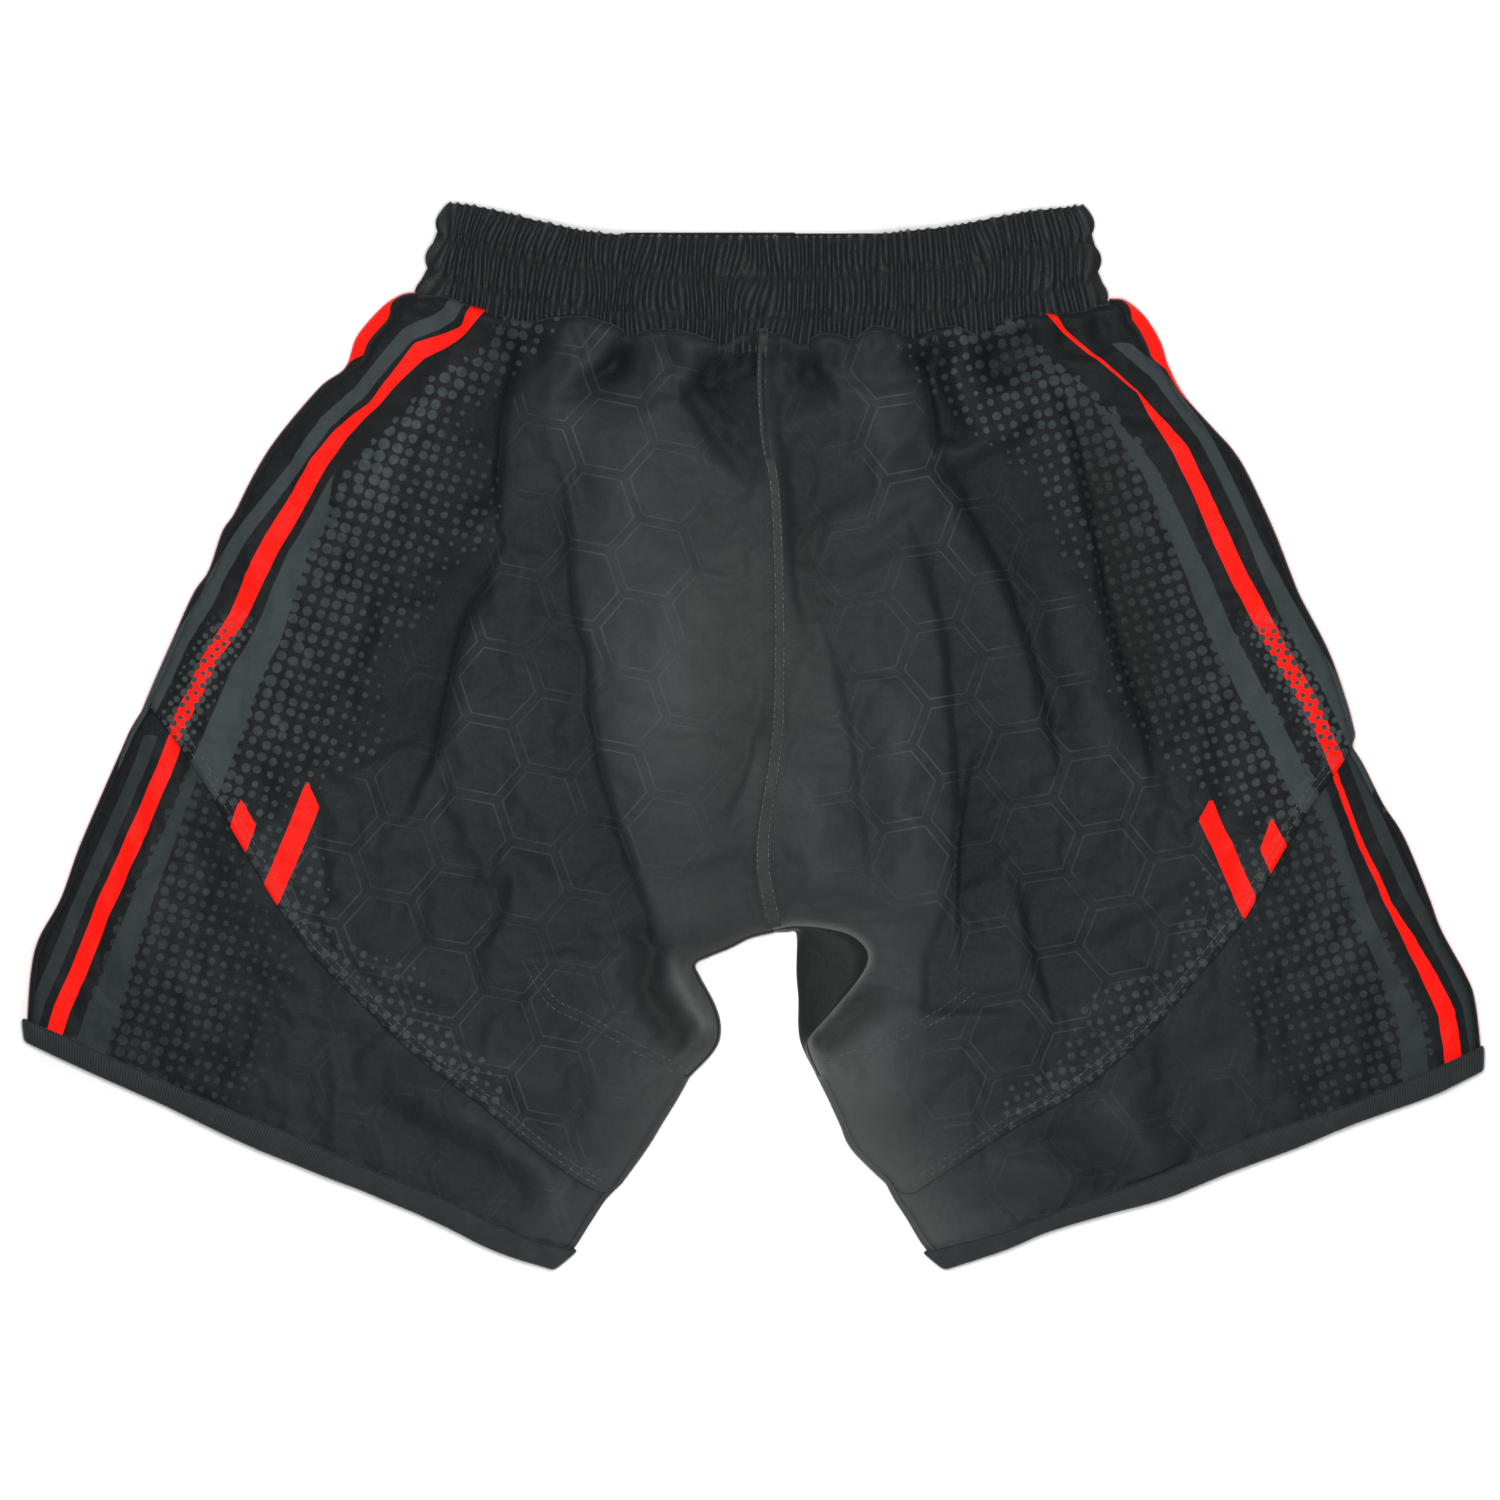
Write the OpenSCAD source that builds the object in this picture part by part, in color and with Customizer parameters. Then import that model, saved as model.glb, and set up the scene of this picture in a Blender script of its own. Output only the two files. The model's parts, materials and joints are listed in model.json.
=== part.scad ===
// Loose sports shorts with a gathered elastic waistband, a hook-and-loop front closure,
// an upper layer that ends in a curved seam, and bound leg hems.
// They lie flat on their front with the back upwards. +Y runs to the waist, +Z up.
// The origin is at the centre of the outline, on the surface that they lie on.

/* [Overall size] */
// Width across the two spread legs
overall_w = 744; // [700:1:790]
// Length from the waistband's upper corners to the lowest hem corner
overall_l = 546; // [515:1:580]

/* [Layers] */
// Thickness of one cloth layer
cloth_t = 1.2; // [0.8:0.1:1.2]
// Height of the back layer's upper face
back_z = 16; // [14:0.5:20]
// Height of the back waistband at its middle
band_z = 22; // [21:0.5:26]

/* [Waistband] */
// Height of the waistband at its middle
band_h = 47; // [42:1:50]
// Thickness of the gathered casing with its elastic
band_t = 4.5; // [4:0.1:5]

/* [Closure] */
// Length of the closure flap
flap_l = 106; // [80:1:110]
// Width of the hook and loop strips
strip_w = 30; // [20:1:36]

/* [Hem] */
// Width of the binding on each hem
binding_w = 10; // [8:0.5:14]

/* [Hidden] */
kx = overall_w / 744;
ky = overall_l / 546;
gap = 0.3;
seam_x = 8;             // the centre seam lies a little to the right of the middle
seam_w = 6;
seam_h = 1.2;
hem_back_z = back_z - cloth_t - gap;         // upper face of the back hem panel
hem_front_z = cloth_t + gap;                 // lower face of the front hem panel
bind_t = 0.9;
bind_clear = 0.25;
hem_inset = 1.5;        // the cloth ends this far inside the binding's edge
end_clear = 2.4;        // from the hem's corners to the ends of the binding's strips
end_w = 2;
flap_t = 1.4;
strip_t = 0.6;
strip_gap = 0.2;
flap_root_x = 40;
underlap_z = flap_t + 2 * strip_t + strip_gap;
front_band_t = 1.6;
band_half = 166;
band_top_y = 252;                            // upper edge of the back waistband, in the middle
front_top_y = 256;                           // upper edge of the front waistband, in the middle
band_drop = 12.5;                            // how far the back waistband comes down at its ends
far = 900;

// Outline of the left half, from the waist down the side, along the hem and up the inseam.
side_upper = [[-168, 225], [-187, 221], [-206, 199], [-214, 184], [-240, 158], [-263, 120],
              [-281, 82], [-298, 47], [-311, 15]];
side_hem = [[-311, 15], [-330, -22], [-352, -72], [-367, -112], [-372, -160]];
hem_line = [[-372, -160], [-300, -190], [-200, -232], [-105, -273]];
inseam_hem = [[-105, -273], [-94, -264], [-72, -235]];
inseam_upper = [[-72, -235], [-52, -207], [-35, -175]];
crotch_edge = [[-35, -175], [-20, -158], [-18, -145], [-26, -122], [-12, -107]];
crotch_y = -100;
// Curved lower edge of the upper layer, from the side to the inseam.
overlay_edge = [[-311, 15], [-295, -10], [-280, -30], [-262, -62], [-242, -92], [-215, -125],
                [-185, -156], [-150, -184], [-110, -213], [-72, -235]];
// Upper edge of the hem panel, hidden under the upper layer.
hem_panel_top = [[-308, 10], [-287, -4], [-272, -25], [-254, -56], [-234, -85], [-208, -118],
                 [-179, -148], [-145, -175], [-106, -204], [-75, -222], [-74.5, -233.5]];
// The line on which each leg folds.
fold_outer = [-348, -58];
fold_inner = [-35, -177];

black = [0.05, 0.055, 0.06];
charcoal = [0.14, 0.15, 0.16];
stripe_red = [0.95, 0.08, 0.05];

function scaled(points) = [for (p = points) [p[0] * kx, p[1] * ky]];
function reversed(points) = [for (i = [len(points) - 1:-1:0]) points[i]];
function unit(v) = v / norm(v);
function left_of(v) = [-v[1], v[0]];
// The points of a path moved by d to the left of its direction.
function shifted(points, d) = [for (i = [0:len(points) - 1])
    let (before = points[max(i - 1, 0)], after = points[min(i + 1, len(points) - 1)])
    points[i] + d * left_of(unit(after - before))];
// The waist edge at x: low in the middle and higher at the sides.
function waist_y(x) = band_top_y - band_h + 17 * pow(x / 172, 2);

// Left half of a whole layer, out to the centre seam at x = seam.
function half_layer(seam) = concat(
    [for (i = [0:8]) let (x = seam - (seam + band_half + 1) * i / 8) [x, waist_y(x) - gap]],
    side_upper, overlay_edge, inseam_upper, crotch_edge, [[seam, crotch_y]]);
function hem_panel_outline() = concat(
    hem_panel_top, [inseam_hem[2], inseam_hem[1]],
    reversed(shifted(hem_line, hem_inset)),
    [for (i = [len(side_hem) - 2:-1:0]) side_hem[i]]);

module on_side(side) {
    if (side < 0) children();
    else mirror([1, 0, 0]) children();
}

// What lies above, +1, or below, -1, the left leg's fold line.
module fold_clip(part) {
    outer = [fold_outer[0] * kx, fold_outer[1] * ky];
    inner = [fold_inner[0] * kx, fold_inner[1] * ky];
    along = unit(inner - outer);
    across = left_of(along) * part;
    polygon([outer - far * along + gap * across, inner + far * along + gap * across,
             inner + far * (along + across), outer - far * (along - across)]);
}

module slab(z_low, z_high, part) {
    translate([0, 0, z_low]) linear_extrude(z_high - z_low) intersection() {
        children();
        fold_clip(part);
    }
}

// One layer of the upper cloth: the back at the top or the front at the bottom.
module upper_layer(side, is_back, part) {
    z = is_back ? back_z - cloth_t : 0;
    on_side(side) slab(z, z + cloth_t, part)
        polygon(scaled(half_layer(-side * (seam_x + side * gap / 2))));
}

module hem_panel(side, is_back, part) {
    z = is_back ? hem_back_z - cloth_t : hem_front_z;
    on_side(side) slab(z, z + cloth_t, part) polygon(scaled(hem_panel_outline()));
}

// A standing wall of cloth along a path, on the inner side of the outline.
module wall(points, z_low, z_high, part) {
    slab(z_low, z_high, part)
        polygon(scaled(concat(points, reversed(shifted(points, cloth_t)))));
}

module side_panel(side, part) {
    on_side(side) {
        if (part > 0) wall(side_upper, cloth_t, back_z - cloth_t, part);
        wall(concat([side_upper[len(side_upper) - 2]], side_hem), hem_front_z + cloth_t,
             hem_back_z - cloth_t, part);
    }
}

module inseam(side) {
    on_side(side) {
        wall(inseam_upper, cloth_t, back_z - cloth_t, -1);
        wall(inseam_hem, hem_front_z + cloth_t, hem_back_z - cloth_t, -1);
    }
}

module gusset(side) {
    on_side(side) wall(concat(crotch_edge, [[-side * (seam_x + side * gap / 2), crotch_y]]),
                       cloth_t, back_z - cloth_t, 1);
}

// The hem line between the side and inseam walls.
function binding_line() = let (
    line = scaled(hem_line),
    outer_run = unit(line[1] - line[0]),
    inner_run = unit(line[3] - line[2]))
    [line[0] + end_clear * outer_run, line[1], line[2], line[3] - end_clear * inner_run];

// Folded tape over one layer's hem edge, with a slot for the cloth.
module binding_strip(z_cloth) {
    z_low = z_cloth - bind_clear - bind_t;
    outer = binding_line();
    module strip(near, depth, low, high) {
        translate([0, 0, low]) linear_extrude(high - low)
            polygon(concat(shifted(outer, near), reversed(shifted(outer, depth))));
    }
    difference() {
        strip(0, binding_w, z_low, z_cloth + cloth_t + bind_clear + bind_t);
        strip(1, binding_w + 1, z_cloth - bind_clear, z_cloth + cloth_t + bind_clear);
    }
}

// Short ends that take the tape round the side seam and the inseam.
module binding_ends() {
    low = hem_front_z + cloth_t + bind_clear + bind_t;
    high = hem_back_z - cloth_t - bind_clear - bind_t;
    line = binding_line();
    up = binding_w * left_of(unit(line[3] - line[0]));
    for (ends = [[line[0], line[1]], [line[3], line[2]]]) {
        along = end_w * unit(ends[1] - ends[0]);
        translate([0, 0, low]) linear_extrude(high - low)
            polygon([ends[0], ends[0] + along, ends[0] + along + up, ends[0] + up]);
    }
}

module hem_binding(side) {
    color(black) on_side(side) {
        binding_strip(hem_front_z);
        binding_strip(hem_back_z - cloth_t);
        binding_ends();
    }
}

// The band's shape from above, between two edges that rise to the sides.
module band_plan(x_low, x_high, y_top, rise_top, y_bottom, rise_bottom) {
    steps = 16;
    xs = [for (i = [0:steps]) x_low + (x_high - x_low) * i / steps];
    polygon(scaled(concat(
        [for (x = xs) [x, y_top + rise_top * pow(x / band_half, 2)]],
        reversed([for (x = xs) [x, y_bottom + rise_bottom * pow(x / 172, 2)]]))));
}

function arch_z(x) = band_z - band_drop * pow(x / band_half, 2);

// The arched back band, made smaller by inset on every side.
module arched_band(inset) {
    steps = 24;
    half = band_half + 4 - inset;
    xs = [for (i = [-steps:steps]) half * i / steps];
    intersection() {
        linear_extrude(far) band_plan(inset - band_half, band_half - inset,
                                      band_top_y - inset, 21, band_top_y - band_h + inset, 17);
        translate([0, far / 2, 0]) rotate([90, 0, 0]) linear_extrude(far) polygon(concat(
            [for (x = xs) [x * kx, arch_z(x) - inset]],
            reversed([for (x = xs) [x * kx, arch_z(x) - band_t + inset]])));
    }
}

module waistband_back_casing() {
    color(black) difference() {
        arched_band(0);
        arched_band(cloth_t);
    }
}

module waistband_elastic() {
    color("dimgray") arched_band(cloth_t + gap);
}

// A strip of the front band whose section, seen along the band's height, is a polygon.
module front_band(x_low, x_high, section) {
    color(black) intersection() {
        linear_extrude(far) band_plan(x_low, x_high, front_top_y, 12, waist_y(0), 17);
        translate([0, far / 2, -1]) rotate([90, 0, 0]) linear_extrude(far)
            translate([0, 1]) polygon(section);
    }
}

// The left half steps up behind the flap. Its outer end rises to meet the back casing.
module waistband_front_left() {
    left = -band_half * kx;
    step = (flap_root_x - flap_l) * kx - gap;
    right = (flap_root_x - 18) * kx;
    end_z = arch_z(band_half) - band_t;
    front_band(-band_half, flap_root_x - 18, [
        [left, 0], [step, 0], [step, underlap_z], [right, underlap_z],
        [right, underlap_z + front_band_t], [step - front_band_t, underlap_z + front_band_t],
        [step - front_band_t, front_band_t], [left + 3, front_band_t],
        [left + 3, end_z], [left, end_z]]);
}

module waistband_front_right() {
    left = flap_root_x * kx + gap;
    right = band_half * kx;
    end_z = arch_z(band_half) - band_t;
    front_band(flap_root_x + gap, band_half, [
        [left, 0], [right, 0], [right, end_z], [right - 3, end_z],
        [right - 3, front_band_t], [left, front_band_t]]);
}

module closure_flap() {
    left = (flap_root_x - flap_l) * kx;
    right = flap_root_x * kx;
    front_band(flap_root_x - flap_l, flap_root_x,
               [[left, 0], [right, 0], [right, flap_t], [left, flap_t]]);
}

module strip_at(z) {
    y_low = (band_top_y - band_h / 2) * ky - strip_w / 2;
    x_low = (flap_root_x - flap_l + 6) * kx;
    x_high = (flap_root_x - 24) * kx;
    translate([x_low, y_low, z]) cube([x_high - x_low, strip_w, strip_t]);
}

module hook_strip() {
    color([0.1, 0.1, 0.11]) strip_at(flap_t);
}

module loop_strip() {
    color([0.12, 0.12, 0.13]) strip_at(underlap_z - strip_t);
}

// A flat ridge along the line x = seam_x, from y_low to y_high.
module seam_ridge(y_low, y_high, z, width, height) {
    translate([seam_x * kx - width / 2, y_low * ky, z])
        cube([width, (y_high - y_low) * ky, height]);
}

module centre_back_seam() {
    color(charcoal) seam_ridge(crotch_y, 200, back_z, seam_w, seam_h);
}

module centre_front_seam() {
    color(charcoal) seam_ridge(crotch_y + 3, 96, cloth_t, seam_w, seam_h);
}

module fly_placket() {
    color(charcoal) seam_ridge(98, 204, cloth_t, 38, cloth_t);
}

waistband_back_casing();
waistband_elastic();
waistband_front_left();
waistband_front_right();
loop_strip();
closure_flap();
hook_strip();
centre_back_seam();
centre_front_seam();
fly_placket();
for (side = [-1, 1]) {
    s = side < 0 ? "left" : "right";
    color(charcoal) upper_layer(side, true, 1);
    color(charcoal) upper_layer(side, true, -1);
    color(charcoal) upper_layer(side, false, 1);
    color(charcoal) upper_layer(side, false, -1);
    color(black) hem_panel(side, true, 1);
    color(black) hem_panel(side, true, -1);
    color(black) hem_panel(side, false, 1);
    color(black) hem_panel(side, false, -1);
    color(stripe_red) side_panel(side, 1);
    color(stripe_red) side_panel(side, -1);
    color(charcoal) gusset(side);
    color(charcoal) inseam(side);
    hem_binding(side);
}
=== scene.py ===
import json
import math

import bmesh
import bpy
import numpy as np
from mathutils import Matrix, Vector, noise
from mathutils.geometry import delaunay_2d_cdt
from mathutils.kdtree import KDTree


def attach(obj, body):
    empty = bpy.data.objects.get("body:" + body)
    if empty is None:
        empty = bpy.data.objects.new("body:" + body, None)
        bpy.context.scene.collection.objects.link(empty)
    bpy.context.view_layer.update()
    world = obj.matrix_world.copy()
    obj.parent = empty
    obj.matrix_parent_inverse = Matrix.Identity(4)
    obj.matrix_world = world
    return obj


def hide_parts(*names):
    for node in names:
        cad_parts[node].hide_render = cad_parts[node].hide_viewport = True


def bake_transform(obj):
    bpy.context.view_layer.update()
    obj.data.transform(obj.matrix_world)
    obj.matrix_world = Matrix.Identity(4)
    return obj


# Sports shorts laid flat, back upwards. Plan sizes here are in millimetres and become metres in
# the meshes. +Y runs to the waist and +Z is up, as in the frame.
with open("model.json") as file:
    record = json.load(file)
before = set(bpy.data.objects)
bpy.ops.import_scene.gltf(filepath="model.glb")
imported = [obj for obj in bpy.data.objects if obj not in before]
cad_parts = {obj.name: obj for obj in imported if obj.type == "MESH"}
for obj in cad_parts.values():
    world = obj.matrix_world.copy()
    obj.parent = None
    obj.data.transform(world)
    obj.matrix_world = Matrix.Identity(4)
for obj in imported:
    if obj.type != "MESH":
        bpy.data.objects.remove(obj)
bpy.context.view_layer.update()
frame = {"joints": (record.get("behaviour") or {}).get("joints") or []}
MM = 0.001
PITCH = 2.6          # spacing of the cloth's points
CLOTH = 0.45                                # thickness of the cloth
SEAM_X = 8.0                                # the centre seam lies right of the middle
FLOOR_GAP = 0.3                             # between the front and the surface
FRONT_WAVES = 1.4
STITCH, STITCH_GAP = 2.6, 0.8

# ---------------------------------------------------------------- outlines
# Each list holds a stretch of the outline of one side. The right side isn't the left one's
# mirror image, because the cloth lies differently.
LEFT = {
    "waist": [(-172, 226), (-158, 225), (-143, 219), (-126, 214), (-113, 211), (-104, 213),
              (-85, 213.5), (-70, 209), (-63, 204), (-54, 207), (-38, 206.5), (-23, 202),
              (-16, 200), (-9, 205), (0, 206), (SEAM_X, 205)],
    "side": [(-172, 226), (-180, 225), (-190, 219), (-203, 204), (-209, 188), (-222, 178),
             (-244, 152), (-256, 133), (-266, 113), (-272, 104), (-279, 84), (-287, 72),
             (-300, 43), (-311, 18)],
    "overlay": [(-311, 18), (-295, -3), (-280, -25), (-259, -60), (-243, -87), (-225, -112),
                (-195, -142), (-170, -165), (-140, -188), (-110, -213), (-80, -233), (-68, -230)],
    "inseam": [(-33, -175), (-39, -186), (-47, -199), (-55, -212), (-68, -230)],
    "crotch": [(10, -101), (-2, -104), (-12, -109), (-22, -113), (-30, -117), (-28, -123),
               (-20, -138), (-17, -150), (-20, -161), (-33, -175)],
    "side_hem": [(-307, 22), (-318, 5), (-324, -8), (-335, -33), (-346, -59), (-355, -84),
                 (-366, -104), (-370, -120), (-372, -146), (-371, -158)],
    "hem": [(-371, -158), (-338, -173), (-300, -190), (-253, -212), (-200, -233), (-160, -250),
            (-134, -263), (-105, -273)],
    "inseam_hem": [(-68, -230), (-76, -238), (-84, -250), (-94, -265), (-105, -273)],
}
RIGHT = {
    "waist": [(182, 222), (165, 217), (155, 216), (140, 216), (126, 213), (118, 208), (112, 205),
              (104, 209), (90, 208), (79, 203), (72, 207), (60, 209), (50, 201), (43, 204),
              (34, 205), (25, 200), (16, 205), (SEAM_X, 205)],
    "side": [(182, 223), (190, 222), (200, 214), (208, 201), (212, 189), (220, 174), (235, 157),
             (245, 146), (253, 133), (266, 105), (275, 82), (280, 70), (294, 43), (303, 18),
             (308, 0)],
    "overlay": [(308, 0), (302, -12), (283, -38), (265, -68), (250, -94), (225, -125),
                (200, -153), (165, -182), (130, -202), (95, -225), (80, -234), (68, -230)],
    "inseam": [(32, -174), (38, -186), (44, -199), (50, -212), (68, -230)],
    "crotch": [(10, -101), (17, -101), (22, -102), (22, -122), (23, -135), (23, -150),
               (25, -160), (32, -174)],
    "crotch_rim": [(10, -101), (22, -99), (40, -101), (51, -105), (57, -113), (52, -124),
                   (38, -141), (27, -154), (27, -162), (32, -174)],
    "side_hem": [(303, 6), (306, -5), (312, -15), (322, -35), (330, -47), (336, -59), (346, -84),
                 (352, -100), (364, -122), (369, -135), (372, -160), (371, -173)],
    "hem": [(371, -173), (343, -186), (306, -199), (275, -212), (242, -224), (210, -237),
            (180, -245), (150, -254), (129, -263), (100, -273)],
    "inseam_hem": [(68, -230), (72, -238), (78, -247), (88, -263), (100, -273)],
}
LEFT["crotch_rim"] = LEFT["crotch"]           # on the left the back's rim hides the front's
OUTLINES = {"left": LEFT, "right": RIGHT}
CENTRE_SEAM = [(5, 206), (4, 180), (6, 150), (10, 130), (12, 100), (13, 60), (13, 30), (12, 0),
               (8, -30), (5, -50), (5, -70), (9, -90), (10, -101)]

# The red stripe's middle line, with its width as the third number.
RED = {
    ("left", "upper"): [(-140, 218, 8), (-148, 206, 4), (-157, 201, 7), (-171, 196, 9),
                        (-182, 184, 6), (-195, 168, 4.5), (-211, 154, 7), (-221, 140, 9),
                        (-233, 120, 9), (-245, 100, 10), (-255, 80, 10), (-264, 60, 8.5),
                        (-277, 40, 8), (-286, 20, 8), (-296, 0, 8), (-304, -18, 8)],
    ("left", "lower"): [(-288, 20, 8), (-295, 0, 8), (-302, -20, 8), (-310.5, -40, 8.5),
                        (-319.5, -60, 9), (-328.5, -80, 9), (-337, -100, 8.5), (-345, -120, 8.5),
                        (-354, -140, 8.5), (-360, -160, 8.5)],
    ("right", "upper"): [(150, 216, 4), (158, 206, 2), (185, 184, 1.3), (196, 175, 0.8),
                         (207, 160, 5), (218, 145, 8), (226, 129, 8), (234, 112, 8.5),
                         (239, 100, 9), (248.5, 80, 9), (259, 60, 9), (270, 40, 9.5),
                         (282, 20, 8.5), (291.5, 0, 8.5), (300, -20, 8.5)],
    ("right", "lower"): [(288, 0, 3), (296, -18, 3), (310, -55, 3), (325, -88, 3.5),
                         (335, -105, 6), (346, -125, 8), (354, -142, 9), (357, -160, 9),
                         (359, -176, 9)],
}
# Bars of red near the overlay's edge: the corners of each.
ACCENTS = {
    "left": [[(-228, -23), (-222, -37), (-243, -88), (-250, -77)],
             [(-262, -32), (-254, -46), (-259, -61), (-267, -47)]],
    "right": [[(233, -31), (227, -43), (250, -95), (256, -83)],
              [(264, -42), (258, -58), (264, -72), (272, -57)]],
}


def smoothstep(a, b, x):
    """0 up to a and 1 from b, with a smooth change between. a may be above b."""
    t = np.clip((np.asarray(x, float) - a) / (b - a), 0, 1)
    return t * t * (3 - 2 * t)


def travelled(points):
    """The way along a path to each of its points."""
    steps = np.linalg.norm(np.diff(np.asarray(points, float)[:, :2], axis=0), axis=1)
    return np.concatenate([[0], np.cumsum(steps)])


def at_distances(points, at):
    """The places at the given distances along a path."""
    p, s = np.asarray(points, float)[:, :2], travelled(points)
    return np.stack([np.interp(at, s, p[:, 0]), np.interp(at, s, p[:, 1])], axis=1)


def spread(points, n):
    """A path's points again, n of them, evenly along it."""
    return at_distances(points, np.linspace(0, travelled(points)[-1], n))


def resample(points, step):
    """The points of a path at an even step along it."""
    return spread(points, max(2, int(round(travelled(points)[-1] / step)) + 1))


def curve(points, step=2.0):
    """A smooth curve through the points, by Catmull-Rom, at an even step."""
    p = np.asarray(points, float)
    q = np.vstack([2 * p[0] - p[1], p, 2 * p[-1] - p[-2]])
    out = []
    for i in range(1, len(q) - 2):
        t = np.linspace(0, 1, 12, endpoint=False)[:, None]
        a, b, c, d = q[i - 1], q[i], q[i + 1], q[i + 2]
        out.append(0.5 * (2 * b + (c - a) * t + (2 * a - 5 * b + 4 * c - d) * t ** 2
                          + (3 * b - a - 3 * c + d) * t ** 3))
    return resample(np.vstack(out + [p[-1:]]), step)


def hill(distance, width):
    """1 at no distance, falling away smoothly over the width."""
    return np.exp(-(np.asarray(distance, float) / width) ** 2)


def along(path, xy):
    """Distance from a path, signed with + on its left, and the share of its length there."""
    p = np.asarray(path, float)[:, :2]
    seg = p[1:] - p[:-1]
    length = np.linalg.norm(seg, axis=1)
    start = travelled(p)
    best = np.full(len(xy), 1e9)
    signed = np.zeros(len(xy))
    share = np.zeros(len(xy))
    for i, (a, d, n) in enumerate(zip(p[:-1], seg, length)):
        r = xy - a
        t = np.clip((r @ d) / max(n * n, 1e-9), 0, 1)
        off = r - t[:, None] * d
        dist = np.hypot(off[:, 0], off[:, 1])
        near = dist < best
        best[near] = dist[near]
        side = np.sign(d[0] * r[:, 1] - d[1] * r[:, 0])
        signed[near] = (dist * side)[near]
        share[near] = ((start[i] + t * n) / start[-1])[near]
    return best, signed, share


def distance_to(path, xy):
    return along(path, xy)[0]


def normals(path):
    """Unit normals on the left of a path."""
    t = np.gradient(np.asarray(path, float)[:, :2], axis=0)
    t /= np.maximum(np.linalg.norm(t, axis=1), 1e-9)[:, None]
    return np.stack([-t[:, 1], t[:, 0]], axis=1)


def inset(path, distance, centre):
    """The path moved towards the side that centre lies on."""
    n = normals(path)
    inward = np.sign(np.sum(n * (np.asarray(centre, float) - path[:, :2]), axis=1))
    turn = np.sign(np.sum(inward))
    return path + n * turn * np.reshape(distance, (-1, 1))


# ---------------------------------------------------------------- how the cloth lies
FOLD_JOINT = {s: next(j for j in frame["joints"] if j["name"] == s + "_leg_fold") for s in OUTLINES}


def fold_start(side):
    return Vector(FOLD_JOINT[side]["pos_m"])


def fold_direction(side):
    """Across the fold line, towards the hem."""
    axis = Vector(FOLD_JOINT[side]["axis"])
    return axis.cross(Vector((0, 0, -1))).normalized()


def past_fold(side, xy):
    """How far a plan point lies past the fold line, towards the hem."""
    p, d = fold_start(side) / MM, fold_direction(side)
    return (xy[:, 0] - p.x) * d.x + (xy[:, 1] - p.y) * d.y


# A crease is a path, the side that lies low (+1 is its left), its depth, how wide the low side
# is, and how much of its length it takes to fade in and out.
CREASES = {
    "left": [
        ([(-62, 209), (-72, 195), (-85, 182), (-98, 169)], 1, 10, 8, 0, 0.6),
        ([(-16, 207), (-22, 192), (-36, 179)], 1, 8, 8, 0, 0.3),
        ([(-38, 180), (-30, 164), (-18, 145), (0, 122)], 1, 5, 12, 0.15, 0.5),
        ([(-113, 212), (-122, 190), (-128, 160), (-131, 125), (-130, 95)], -1, 4.5, 12, 0, 0.3),
        ([(-126, 110), (-136, 78), (-150, 50), (-158, 15), (-165, -15), (-185, -55)], -1, 4.5, 20,
         0.3, 0.4),
        ([(-97, 165), (-95, 120), (-91, 65), (-84, 38), (-82, 8), (-76, -22), (-66, -56),
          (-54, -90), (-50, -112)], -1, 4.5, 14, 0.35, 0.05),
        ([(6, 20), (-3, -15), (-12, -40), (-20, -62)], -1, 2.5, 10, 0.3, 0.4),
        ([(-100, 150), (-90, 120), (-86, 90)], 1, 2.5, 12, 0.4, 0.5),
        ([(-120, -60), (-130, -95), (-150, -125)], -1, 2, 14, 0.4, 0.5),
    ],
    "right": [
        ([(25, 207), (31, 192), (40, 172), (44, 160)], -1, 6, 10, 0, 0.5),
        ([(12, 170), (15, 130), (18, 95), (24, 55), (33, 20)], 1, 4, 14, 0.2, 0.5),
        ([(79, 208), (85, 190), (91, 165), (94, 140)], 1, 8, 10, 0, 0.2),
        ([(93, 145), (106, 118), (120, 92), (131, 68), (141, 40), (150, 5), (157, -35)], 1, 5, 24,
         0.1, 0.3),
        ([(112, 209), (118, 190), (125, 170)], 1, 7, 8, 0, 0.4),
        ([(150, 180), (160, 162), (167, 135), (173, 105), (179, 70), (186, 40), (198, 5),
          (204, -40)], 1, 4, 14, 0.2, 0.3),
        ([(74, 120), (84, 90), (94, 58), (99, 15), (102, -25), (103, -60)], 1, 4, 15, 0.25, 0.0),
        ([(103, -60), (99, -82), (92, -102), (87, -120), (87, -146)], 1, 3, 12, 0.0, 0.1),
        ([(28, 80), (38, 45), (47, 10), (53, -30), (57, -62), (58, -92)], 1, 3, 10, 0.3, 0.2),
        ([(50, 205), (52, 190), (60, 165)], 1, 3, 8, 0, 0.5),
        ([(134, -60), (138, -95), (147, -128), (158, -160)], 1, 2.5, 14, 0.3, 0.4),
    ],
}
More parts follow.
